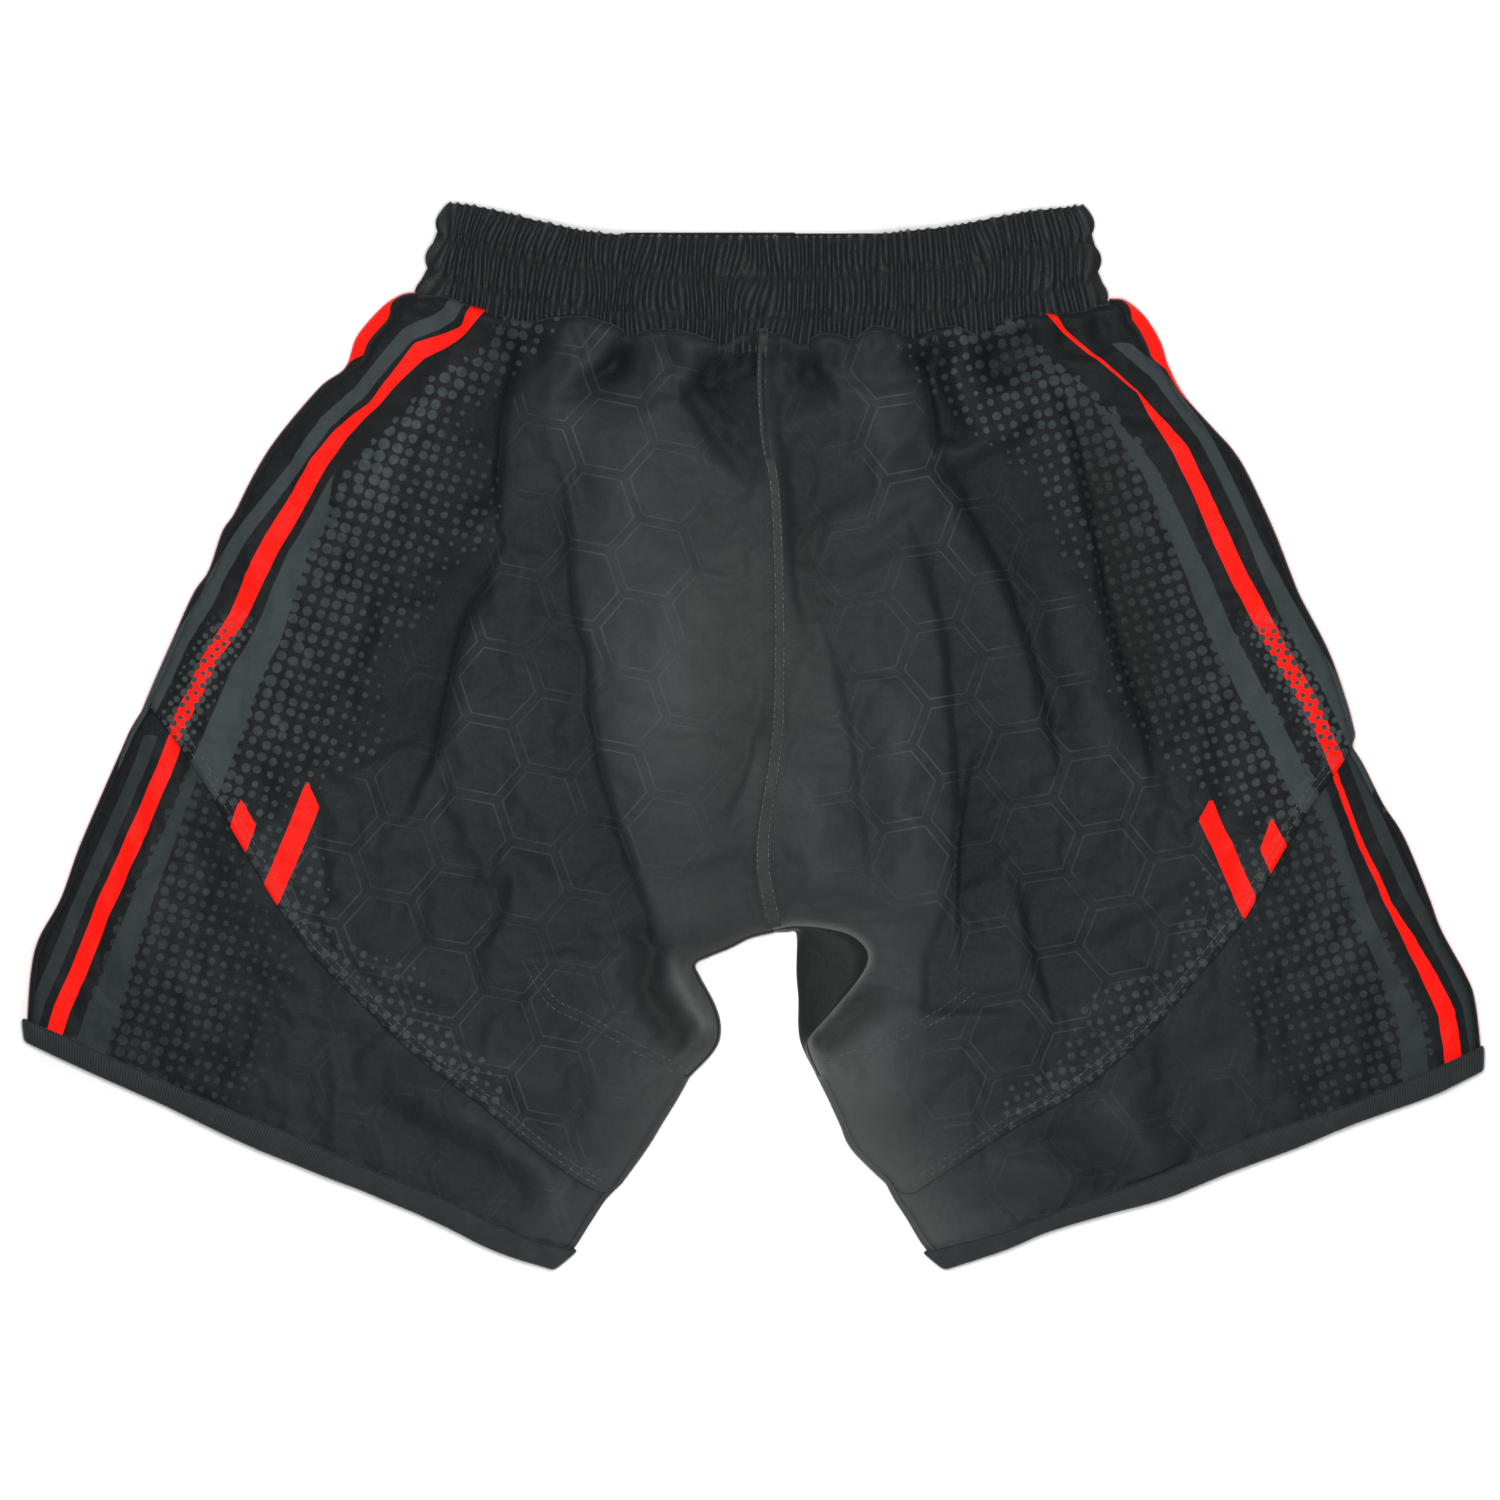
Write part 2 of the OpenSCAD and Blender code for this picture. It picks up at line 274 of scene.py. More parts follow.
# A roll is a soft ridge (+) or valley (-): its path, height, width, and its fades.
ROLLS = {
    "left": [
        ([(-92, 215), (-95, 185), (-104, 150), (-112, 110)], 3.5, 16, 0, 0.5),
        ([(-40, 208), (-52, 180), (-66, 140), (-72, 90), (-60, 40)], 4, 20, 0, 0.5),
        ([(-142, 215), (-160, 180), (-190, 140), (-215, 95)], 2.5, 14, 0, 0.5),
        ([(-57, -92), (-53, -125), (-45, -147), (-32, -160)], -4, 10, 0.25, 0.12),
        ([(-44, -108), (-38, -124), (-30, -139), (-22, -152)], 3.5, 5, 0.2, 0.1),
        ([(-35, 120), (-45, 60), (-45, 0), (-40, -60)], 3, 26, 0.3, 0.3),
        ([(-200, -150), (-160, -160), (-125, -172), (-90, -190)], 3, 12, 0.3, 0.2),
        ([(-200, -180), (-165, -205), (-130, -225), (-105, -245)], -3, 11, 0.2, 0.2),
        ([(-175, -188), (-140, -200), (-110, -225), (-95, -250)], 3, 9, 0.3, 0.1),
        ([(-330, -60), (-300, -110), (-260, -150)], 2, 30, 0.3, 0.3),
    ],
    "right": [
        ([(52, 208), (60, 180), (66, 140), (72, 100)], 3, 14, 0, 0.5),
        ([(98, 210), (106, 185), (120, 150), (135, 120)], 3, 14, 0, 0.5),
        ([(22, -10), (30, -50), (36, -85)], 3, 14, 0.4, 0.2),
        ([(62, 40), (72, 0), (78, -50), (78, -100)], 3.5, 16, 0.3, 0.3),
        ([(142, 100), (160, 60), (172, 10), (182, -40)], 3, 15, 0.4, 0.4),
        ([(60, -130), (62, -165), (66, -200)], 3, 22, 0.3, 0.3),
        ([(30, -160), (42, -150), (54, -138), (64, -122)], -4.2, 9, 0.1, 0.4),
        ([(150, -196), (170, -215), (185, -232)], -3, 9, 0.2, 0.1),
        ([(170, -185), (195, -200), (205, -228)], 3, 11, 0.2, 0.2),
        ([(205, -150), (212, -180), (205, -215)], -2.5, 12, 0.3, 0.3),
        ([(110, -215), (140, -222), (170, -232)], 3, 9, 0.2, 0.2),
        ([(335, -60), (300, -110), (265, -160)], 2, 30, 0.3, 0.3),
    ],
}
# Where the waist's gathers tuck the cloth in: place, and how far the tuck leans over.
TUCKS = {
    "left": [(-113, 209, 3), (-90, 212, 6), (-63, 203, -9),
             (-46, 207, 4), (-17, 199, -5), (-3, 205, 2)],
    "right": [(25, 199, 5), (50, 200, 2), (42, 204, -3), (79, 202, 4), (96, 208, -3),
              (112, 204, 4), (136, 215, 6), (155, 215, 8), (171, 219, 10)],
}
TOP_Z = 12.0                              # the back's height away from the middle
MIDDLE_RISE = 7.0                         # how much higher it stands in the middle
HEM_Z = 10.5                              # and its height at the hems
EDGE_Z = 7.0                              # and along the sides and inseams
OVER_BAND = 6.2                           # how far the cloth stands over the band at the waist
OVER_BAND_DIP = 6.5                       # how far its very edge turns down again
SEAM_RIDGE = 1.8                          # the cloth's rise at the centre seam
ARCH_TOP, ARCH_DROP, BAND_HALF = 22.0, 12.5, 166.0


def arch(x):
    """Height of the back waistband's upper face."""
    return ARCH_TOP - ARCH_DROP * np.clip(np.asarray(x, float) / BAND_HALF, -1.06, 1.06) ** 2


def fractal(xy, wavelength, octaves, seed):
    """Smooth random waves, of either sign, at plan points."""
    return np.array([noise.fractal(Vector((x / wavelength, y / wavelength, seed)), 1.0, 2.0,
                                   octaves) for x, y in xy])


def closed_edges(side):
    """The outline's stretches where the back and the front are joined."""
    o = OUTLINES[side]
    lower = np.vstack([curve(o["side"]), curve(o["side_hem"])])
    inner = np.vstack([curve(o["crotch_rim"]), curve(o["inseam"]), curve(o["inseam_hem"])])
    return [lower, inner]


# A crease is a sharp step and a broad one: the share of each, its softness and its reach.
CREASE_PROFILE = ((0.65, 1.2, 1.3), (1.1, 5.0, 1.9))
ROLL_RISE = 1.4
TUCK_DEPTH = 5.5


def sigmoid(x):
    return 1 / (1 + np.exp(-np.clip(x, -40, 40)))


def faded(t, fade_in, fade_out):
    """A strength that rises from a path's start and falls to its end."""
    rise = smoothstep(0, fade_in, t) if fade_in else np.ones(len(t))
    return rise * (1 - smoothstep(1 - fade_out, 1, t)) if fade_out else rise


def fold_relief(side, xy):
    """How far the creases and rolls lift or lower the cloth."""
    relief = np.zeros(len(xy))
    for path, low, depth, width, fade_in, fade_out in CREASES[side]:
        _, s, t = along(curve(path, 4), xy)
        s = s * low
        profile = 0
        for share, soft, reach in CREASE_PROFILE:
            fall = np.exp(-np.abs(s) / (reach * width))
            low_part = np.where(s > 0, fall, 1) * sigmoid(s / soft)
            high_part = np.where(s < 0, fall, 1) * sigmoid(-s / soft)
            profile = profile + share * (low_part - 0.5 * high_part)
        relief -= depth * faded(t, fade_in, fade_out) * profile
    for path, height, width, fade_in, fade_out in ROLLS[side]:
        d, _, t = along(curve(path, 4), xy)
        relief += ROLL_RISE * height * faded(t, fade_in, fade_out) * hill(d, width)
    waist = distance_to(OUTLINES[side]["waist"], xy)
    for x, y, lean in TUCKS[side]:
        d, _, t = along([(x, y + 3), (x + lean, y - 24)], xy)
        relief -= TUCK_DEPTH * (1 - t) ** 0.7 * hill(d, 2.8 + 4 * t) * smoothstep(0, 7, waist)
    relief = relief * (0.25 + 0.75 * smoothstep(2, 17, waist))
    return relief * (1 - 0.3 * smoothstep(-20, 30, past_fold(side, xy)))


def back_height(side, xy):
    """Height of the back's upper face, in millimetres, above the surface it lies on."""
    xy = np.asarray(xy, float)[:, :2]
    middle = MIDDLE_RISE * hill(xy[:, 0] - SEAM_X, 105) * smoothstep(-150, 20, xy[:, 1])
    z = TOP_Z + middle - (TOP_Z - HEM_Z) * smoothstep(0, 105, past_fold(side, xy))
    waist = distance_to(OUTLINES[side]["waist"], xy)
    z = z + (arch(xy[:, 0]) + OVER_BAND - z) * hill(waist, 15)
    z = z + fold_relief(side, xy)
    z = z + 1.6 * fractal(xy * (1, 0.45), 34, 3, 3.1) + 0.5 * fractal(xy, 13, 2, 7.7)
    z = np.maximum(z, 4.0 + 0.25 * z)
    for edge, reach in zip(closed_edges(side), (17, 14)):
        near = np.exp(-(distance_to(edge, xy) + 1.5) / reach)
        z = EDGE_Z + (z - EDGE_Z) * (1 - near * smoothstep(0, 26, waist))
    z = z - OVER_BAND_DIP * hill(waist, 2.3)
    return z + SEAM_RIDGE * hill(distance_to(CENTRE_SEAM, xy), 6)


def front_height(xy):
    """Height of the front's lower face. It lies on the surface, with a few low waves."""
    xy = np.asarray(xy, float)[:, :2]
    return FLOOR_GAP + FRONT_WAVES * np.clip(fractal(xy, 60, 2, 11.0), 0, 1)


# ---------------------------------------------------------------- meshes
def mesh_object(name, verts, faces, material, smooth=True):
    mesh = bpy.data.meshes.new(name)
    mesh.from_pydata((np.asarray(verts, float) * MM).tolist(), [], faces)
    mesh.update()
    if smooth:
        mesh.polygons.foreach_set("use_smooth", [True] * len(mesh.polygons))
    obj = bpy.data.objects.new(name, mesh)
    bpy.context.scene.collection.objects.link(obj)
    mesh.materials.append(material)
    return obj


def set_field(obj, name, *columns):
    """A field of three numbers at each point, which the materials read."""
    attribute = obj.data.attributes.new(name, "FLOAT_VECTOR", "POINT")
    attribute.data.foreach_set("vector", np.column_stack(columns).astype(np.float32).ravel())


def apply_modifier(obj, kind, **settings):
    modifier = obj.modifiers.new(kind, kind)
    for key, value in settings.items():
        setattr(modifier, key, value)
    graph = bpy.context.evaluated_depsgraph_get()
    made = bpy.data.meshes.new_from_object(obj.evaluated_get(graph),
                                           preserve_all_data_layers=True, depsgraph=graph)
    obj.modifiers.clear()
    obj.data = made


def fill(outline, pitch):
    """Points and triangles that fill a closed outline at about that spacing."""
    edge = resample(np.vstack([outline, outline[:1]]), pitch)[:-1]
    lo, hi = edge.min(0), edge.max(0)
    row = pitch * math.sqrt(3) / 2
    ys = np.arange(lo[1] + row / 2, hi[1], row)
    grid = np.array([(x, y) for k, y in enumerate(ys)
                     for x in np.arange(lo[0] + (k % 2) * pitch / 2, hi[0], pitch)])
    inside = np.zeros(len(grid), bool)
    for a, b in zip(edge, np.roll(edge, -1, axis=0)):
        crosses = (a[1] > grid[:, 1]) != (b[1] > grid[:, 1])
        x = a[0] + (grid[:, 1] - a[1]) * (b[0] - a[0]) / (b[1] - a[1] + 1e-12)
        inside ^= crosses & (grid[:, 0] < x)
    grid = grid[inside]
    grid = grid[distance_to(np.vstack([edge, edge[:1]]), grid) > 0.6 * pitch]
    points = [Vector(p) for p in np.vstack([edge, grid])]
    ring = list(range(len(edge)))
    verts, _, faces, _, _, _ = delaunay_2d_cdt(points, [], [ring], 1, 1e-4)
    faces = [f if signed_area(verts, f) > 0 else f[::-1] for f in faces]
    return np.array([tuple(v) for v in verts]), faces


def signed_area(verts, face):
    a, b, c = (verts[i] for i in face[:3])
    return (b[0] - a[0]) * (c[1] - a[1]) - (b[1] - a[1]) * (c[0] - a[0])


def red_field(side, tier, xy):
    """Distance inwards from the red stripe's middle line, and the stripe's half width."""
    path = np.array(RED[side, tier], float)
    _, s, t = along(path, xy)
    at = travelled(path)
    half = np.interp(t, at / at[-1], path[:, 2]) / 2
    return (s if side == "left" else -s), half


# How far the dotted print reaches in from the stripes, by height on the garment.
DOT_REACH = {
    ("left", "upper"): [(-60, 15), (-30, 58), (-5, 80), (40, 55), (60, 68), (90, 68), (100, 74),
                        (135, 52), (160, 22), (170, 16), (195, 18), (215, 24)],
    ("left", "lower"): [(-180, 92), (-150, 90), (-120, 88), (-90, 62), (-60, 36), (-20, 5)],
    ("right", "upper"): [(-60, 22), (-20, 58), (20, 68), (60, 52), (100, 60), (130, 50),
                         (160, 50), (190, 60), (215, 60)],
    ("right", "lower"): [(-190, 70), (-160, 78), (-130, 75), (-100, 62), (-70, 40), (-40, 8)],
}


STRIPE_ZONE = {"upper": 28.0, "lower": 24.0}  # how far in from the red stripe the dots start
PRINT_STRENGTH = {"upper": 1.0, "lower": 0.62}


def painted_highlight(side, xy):
    """How strongly a painted highlight pales the cloth: on the crotch's rim, its ridge and along the
    inner leg.
    """
    o = OUTLINES[side]
    rim_highlight, inner_highlight = (1.0, 0.4) if side == "right" else (0.25, 0.18)
    wear_and_highlight = rim_highlight * hill(distance_to(curve(o["crotch_rim"]), xy), 3.0)
    if side == "left":
        ridge, _, t = along([(-43, -112), (-38, -127), (-29, -141), (-20, -156)], xy)
        wear_and_highlight = np.maximum(wear_and_highlight, 0.24 * faded(t, 0.3, 0.1) * hill(ridge, 6.0))
    inner = distance_to(np.vstack([o["inseam"], o["inseam_hem"]]), xy)
    return np.clip(wear_and_highlight + inner_highlight * np.exp(-(inner / 30) ** 1.5), 0, 1)


def stripe_fields(obj, side, tier, xy):
    """Stores where each point lies in the print."""
    s, half = red_field(side, tier, xy)
    y = xy[:, 1]
    start = STRIPE_ZONE[tier]
    ys, reach = zip(*sorted(DOT_REACH[side, tier]))
    reach = np.interp(y, ys, reach)
    into = (s - start + 8) / reach
    dots = np.where(into > 1, 0, np.clip(2.75 - 1.6 * into, 0, 2.8)) * (s > start - 14)
    if tier == "upper":
        edge, _, t = along(curve(OUTLINES[side]["overlay"]), xy)
        row = (edge < 26 + 8 * np.sin(t * 25)) & (y < -32) & (np.abs(xy[:, 0]) > 128)
        dots = np.where(row, np.maximum(dots, 1.9 - 0.02 * edge), dots)
    middle = hill(xy[:, 0] - SEAM_X, 40)
    # Paler, warmer middle and crotch: partly the print's own fade, partly a painted highlight.
    print_fade_and_highlight = np.exp(-(((xy[:, 0] + 8) / 72) ** 2 + ((xy[:, 1] - 35) / 120) ** 2) ** 1.3)
    if tier == "lower":
        print_fade_and_highlight = print_fade_and_highlight * 0 + 0.14
    crotch = smoothstep(-30, -100, y) * np.exp(-((xy[:, 0] - SEAM_X) / 85) ** 4)
    hexes = smoothstep(start + reach * 0.8, start + reach * 1.15, s) * (1 - 0.75 * middle)
    hexes = hexes * (1 - crotch) * (1.0 if tier == "upper" else 0.4)
    eroded = smoothstep(66, 50, y) * smoothstep(-22, -2, y) if tier == "upper" else y * 0
    # The plan field's third number is the strength of the painted highlight.
    set_field(obj, "plan", xy[:, 0], y, painted_highlight(side, xy))
    set_field(obj, "stripe", s, half, dots)
    set_field(obj, "tone", hexes, np.maximum(0.54 * print_fade_and_highlight, 0.45 * crotch), eroded)
    # The folds' relief, which the material turns into painted shade in the valleys and painted
    # highlight on the crests.
    set_field(obj, "relief", fold_relief(side, xy), y * 0 + PRINT_STRENGTH[tier], y * 0)
    dark = 1 - smoothstep(start + reach * 0.7, start + reach * 1.1, s)
    accents = np.max([polygon_depth(bar, xy) for bar in ACCENTS[side]], axis=0)
    if tier == "lower":
        accents = accents * 0 - 5
    set_field(obj, "bands", grey_depth(side, tier, s, y), accents, dark)


def polygon_depth(corners, xy):
    """How deep each point lies inside a convex polygon. It's negative outside."""
    c = np.array(corners, float)
    turn = np.sign(np.cross(c[1] - c[0], c[2] - c[1]))
    depth = np.full(len(xy), 1e9)
    for a, b in zip(c, np.roll(c, -1, axis=0)):
        d = (b - a) / np.linalg.norm(b - a)
        depth = np.minimum(depth, turn * (d[0] * (xy[:, 1] - a[1]) - d[1] * (xy[:, 0] - a[0])))
    return depth


# The grey bands beside the red stripe: height, then the near and far distance from its middle.
GREY_BANDS = {
    ("left", "upper"): [[(-40, 15, 34), (0, 13.5, 31), (80, 10, 21), (120, 9, 14), (135, 9, 9)],
                        [(-40, 13, 21), (80, 14, 22), (100, 12, 20), (140, 6, 13), (190, 6, 13),
                         (228, 7, 15)]],
    ("left", "lower"): [[(-180, 11, 30), (-155, 12, 28), (-50, 12, 19), (0, 12, 16)],
                        [(-180, 9, 16), (0, 9, 16)]],
    ("right", "upper"): [[(-40, 17, 28), (20, 17, 29), (60, 15, 26), (80, 13, 24), (140, 15, 22),
                          (172, 18, 19)],
                         [(-40, 9, 19), (60, 9, 19), (100, 12, 18), (200, 10, 17)]],
    ("right", "lower"): [[(-180, 14, 27), (-160, 13, 26), (-120, 14, 21), (-100, 11, 19),
                          (-60, 8, 15), (0, 6, 12)],
                         [(-180, 9, 16), (0, 9, 16)]],
}


def grey_depth(side, tier, s, y):
    """How deep each point lies inside a grey band. It's negative outside."""
    depth = np.full(len(s), -9.0)
    for band, sign in zip(GREY_BANDS[side, tier], (1, -1)):
        ys, near, far = (np.array(c, float) for c in zip(*band))
        a, b = np.interp(y, ys, near), np.interp(y, ys, far)
        inside = np.minimum(sign * s - a, b - sign * s)
        inside = np.minimum(inside, np.minimum(y - ys[0], ys[-1] - y))
        depth = np.maximum(depth, inside)
    return depth


def cut_outline(*stretches):
    """One closed outline from stretches that follow on from each other."""
    return np.vstack([np.asarray(s, float)[:, :2] for s in stretches])


def leg_blend(obj):
    """Bakes the object's transform into its mesh."""
    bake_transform(obj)


INSET = 3.0                                   # from the outline to a layer's edge
RIM_INSET = 1.5                               # and at the crotch and the hem
PEEK = 6.5                                    # how much more near the waist, where the front shows
HEM_OVERLAP = 13                              # how far the hem panel goes under the upper layer
BODY = (0, 60)                                # places that the cloth's edges are inset towards
LEG = {"left": (-200, -170), "right": (200, -170)}
CROTCH_SIDE = {"left": (-60, -60), "right": (75, -60)}


def back_edges(side):
    """The back panel's joined edges: the side's and the inner leg's."""
    o = OUTLINES[side]
    rim = curve(o["side"])
    peek = INSET + PEEK * smoothstep(186, 195, rim[:, 1]) * smoothstep(224, 216, rim[:, 1])
    return {
        "side": inset(rim, peek, BODY),
        "side_hem": inset(curve(o["side_hem"]), INSET, BODY),
        "crotch": inset(curve(o["crotch_rim"]), RIM_INSET, CROTCH_SIDE[side]),
        "inseam": inset(curve(o["inseam"]), INSET, LEG[side]),
        "inseam_hem": inset(curve(o["inseam_hem"]), INSET, LEG[side]),
    }


def front_edges(side):
    """The front panel's joined edges."""
    o = OUTLINES[side]
    edges = {k: inset(curve(o[k]), INSET, BODY) for k in ("side", "side_hem")}
    edges["crotch"] = inset(curve(o["crotch"]), RIM_INSET, CROTCH_SIDE[side])
    edges.update({k: inset(curve(o[k]), INSET, LEG[side]) for k in ("inseam", "inseam_hem")})
    return edges


def half_layer(side, edges):
    """One side of the upper layer, from the waist to the overlay's edge."""
    o = OUTLINES[side]
    overlay = curve(o["overlay"])[3:-3]
    return cut_outline(resample(o["waist"], 2), curve(CENTRE_SEAM)[1:-1], edges["crotch"],
                       edges["inseam"], overlay[::-1], edges["side"][::-1])


def hem_layer(side, edges):
    """The hem panel. Its upper edge is hidden inside the upper layer."""
    top = inset(curve(OUTLINES[side]["overlay"]), HEM_OVERLAP, BODY)[4:-6]
    hem = inset(curve(OUTLINES[side]["hem"]), RIM_INSET, BODY)
    return cut_outline(top, edges["inseam_hem"][2:], hem[::-1][2:-2], edges["side_hem"][::-1][:-4])


HOLD_LEVELS = 20                              # how finely the simulation's hold is stored
SETTLE_FRAMES = 16
SETTLE_CAP = 2.2                              # the simulation moves a point no farther


def settle(obj, hold, spare):
    """Lets the cloth buckle by simulation. hold says how firmly each point keeps its place, and
    spare is the share of extra cloth."""
    mesh = obj.data
    start = np.empty(len(mesh.vertices) * 3)
    mesh.vertices.foreach_get("co", start)
    group = obj.vertex_groups.new(name="hold")
    for k in range(HOLD_LEVELS + 1):
        points = np.nonzero(np.round(hold * HOLD_LEVELS) == k)[0].tolist()
        group.add(points, k / HOLD_LEVELS, "REPLACE")
    modifier = obj.modifiers.new("settle", "CLOTH")
    cloth = modifier.settings
    cloth.quality = 6
    cloth.mass = 0.12
    cloth.tension_stiffness = cloth.compression_stiffness = 12
    cloth.shear_stiffness = 6
    cloth.bending_stiffness = 8.0
    cloth.tension_damping = cloth.compression_damping = 8
    cloth.shrink_min = cloth.shrink_max = -spare
    cloth.vertex_group_mass = "hold"
    cloth.pin_stiffness = 1.0
    cloth.effector_weights.gravity = 0
    modifier.point_cache.frame_start = 1
    modifier.point_cache.frame_end = SETTLE_FRAMES
    for frame_number in range(1, SETTLE_FRAMES + 1):
        bpy.context.scene.frame_set(frame_number)
    found = obj.evaluated_get(bpy.context.evaluated_depsgraph_get()).to_mesh()
    end = np.empty(len(mesh.vertices) * 3)
    found.vertices.foreach_get("co", end)
    obj.modifiers.clear()
    obj.vertex_groups.clear()
    bpy.context.scene.frame_set(1)
    move = (end - start).reshape(-1, 3) / MM
    size = np.linalg.norm(move, axis=1)
    capped = SETTLE_CAP * np.tanh(size / SETTLE_CAP)
    move *= (capped / np.maximum(size, 1e-6))[:, None]
    mesh.vertices.foreach_set("co", (start.reshape(-1, 3) + move * MM).ravel())
    mesh.update()


def cloth_panel(name, side, tier, outline, z_of, material, up, spare=0.0):
    """A layer of cloth that fills an outline, with its outer face at the height that z_of says."""
    xy, faces = fill(outline, PITCH)
    z = z_of(xy)
    if not up:
        faces = [f[::-1] for f in faces]
    obj = mesh_object(name, np.column_stack([xy, z]), faces, material)
    stripe_fields(obj, side, tier, xy)
    if spare:
        edge = distance_to(np.vstack([outline, outline[:1]]), xy)
        settle(obj, 1 - 0.9 * smoothstep(1.5, 12, edge), spare)
    apply_modifier(obj, "SOLIDIFY", thickness=CLOTH * MM, offset=-1.0, use_rim=True)
    return obj


# The front's red stripe runs down the turn of the cloth. Height on the garment, and how far
# round the turn it starts: 0 is the back's edge and 0.5 the outline.
FRONT_STRIPE = {
    "left": [(-165, 0.54), (-42, 0.53), (-32, 0.44), (-22, 0.53), (118, 0.52), (130, 0.42),
             (188, 0.42), (194, 0.10), (216, 0.08), (226, 0.30), (232, 0.55)],
    "right": [(-175, 0.54), (-104, 0.53), (-92, 0.42), (-55, 0.44), (-46, 0.53), (102, 0.52),
              (114, 0.42), (166, 0.42), (174, 0.20), (190, 0.07), (212, 0.10), (224, 0.30)],
}


def front_stripe_depth(side, around, y):
    ys, start = (np.array(c, float) for c in zip(*FRONT_STRIPE[side]))
    near = np.interp(y, ys, start)
    return 16 * np.minimum(around - near, 0.78 - around)


def grid_faces(n, m):
    """The faces of a sheet whose points run in n rows of m."""
    return [(q, q + 1, q + m + 1, q + m) for i in range(n - 1) for q in range(i * m, i * m + m - 1)]


def edge_strip(name, side, tier, upper, middle, lower, z_up, material, drop=1.0, steps=13):
    """The turn of the cloth from the back's edge, by the outline, to the front's edge."""
    n = max(int(len(middle)), 8)
    a, m, b = (spread(path, n) for path in (upper, middle, lower))
    za, zb = z_up(a), front_height(b)
    k = np.linspace(0, 1, steps)
    fall = 1 - ((1 + np.cos(math.pi * k)) / 2) ** drop
    out = np.sin(math.pi * k)
    verts = []
    for i in range(n):
        for kk, f, o in zip(k, fall, out):
            rim = a[i] if kk < 0.5 else b[i]
            p = rim + (m[i] - rim) * o
            verts.append((p[0], p[1], za[i] * (1 - f) + zb[i] * f - 0.2 * (1 - f)))
    obj = mesh_object(name, verts, grid_faces(n, steps), material)
    xy = np.array(verts)[:, :2]
    stripe_fields(obj, side, tier, xy)
    if name.endswith("side_cloth"):
        around = np.tile(k, n)
        depths = front_stripe_depth(side, around, xy[:, 1])
        for item, depth in zip(obj.data.attributes["bands"].data, depths):
            item.vector[1] = max(item.vector[1], depth)
    apply_modifier(obj, "SOLIDIFY", thickness=CLOTH * MM, offset=0.0, use_rim=True)
    face_outwards(obj)
    return obj


def face_outwards(obj):
    """Turns the faces so that they look out of the cloth's thickness."""
    work = bmesh.new()
    work.from_mesh(obj.data)
    bmesh.ops.recalc_face_normals(work, faces=work.faces)
    work.to_mesh(obj.data)
    work.free()


def joined(name, material, parts):
    """One mesh object from several lists of points and faces, in millimetres."""
    verts, faces = [], []
    for v, f in parts:
        base = len(verts)
        verts.extend(v)
        faces.extend([tuple(i + base for i in face) for face in f])
    return mesh_object(name, verts, faces, material)


def tube(rings, closed_path=False):
    """Points and faces through rings of points, with the ends capped."""
    n, m = len(rings), len(rings[0])
    verts = [tuple(p) for ring in rings for p in ring]
    faces = []
    for i in range(n if closed_path else n - 1):
        a, b = i * m, ((i + 1) % n) * m
        faces.extend((a + j, a + (j + 1) % m, b + (j + 1) % m, b + j) for j in range(m))
    if not closed_path:
        faces.append(tuple(range(m))[::-1])
        faces.append(tuple((n - 1) * m + j for j in range(m)))
    return verts, faces


def solid(name, rings, material, smooth=True, ribs=None, closed_path=False):
    """A closed mesh object through rings of points. ribs holds the way along it."""
    verts, faces = tube(rings, closed_path)
    obj = mesh_object(name, verts, faces, material, smooth)
    if ribs is not None:
        set_field(obj, "rib", ribs, np.zeros(len(ribs)), np.zeros(len(ribs)))
    face_outwards(obj)
    return obj


def stitch(a, b, radius):
    """A thread's visible length between two points: a low capsule."""
    a, b = np.array(a, float), np.array(b, float)
    d = (b - a) / max(np.linalg.norm(b - a), 1e-6)
    side = np.cross(d, (0, 0, 1.0))
    side /= max(np.linalg.norm(side), 1e-6)
    up = np.cross(side, d)
    rings = []
    for t, r in ((0, 0.35), (0.15, 0.9), (0.5, 1.0), (0.85, 0.9), (1, 0.35)):
        c = a + (b - a) * t
        rings.append([c + radius * r * (math.cos(w) * side + math.sin(w) * up)
                      for w in np.arange(6) * math.pi / 3])
    return tube(rings)


def on_cloth(obj):
    """Height of a finished cloth piece's upper face at plan points."""
    points = np.array([v.co[:] for v in obj.data.vertices]) / MM
    top = points[: len(points) // 2]
    tree = KDTree(len(top))
    for i, p in enumerate(top):
        tree.insert((p[0], p[1], 0), i)
    tree.balance()

    def height(xy):
        out = []
        for x, y in xy:
            near = tree.find_n((x, y, 0), 3)
            share = [1 / (d + 0.05) for _, _, d in near]
            out.append(sum(top[i][2] * w for (_, i, _), w in zip(near, share)) / sum(share))
        return np.array(out)
    return height


def stitch_row(path, z_of, length=STITCH, gap=STITCH_GAP, radius=0.22):
    """Stitches in a row along a plan path, lying on the height that z_of gives."""
    p = resample(path, 0.5)
    starts = np.arange(0.5, travelled(p)[-1] - length, length + gap)
    xy = at_distances(p, np.concatenate([starts, starts + length]))
    pts = np.column_stack([xy, z_of(xy) + 0.08])
    n = len(starts)
    return [stitch(pts[i], pts[n + i], radius) for i in range(n)]


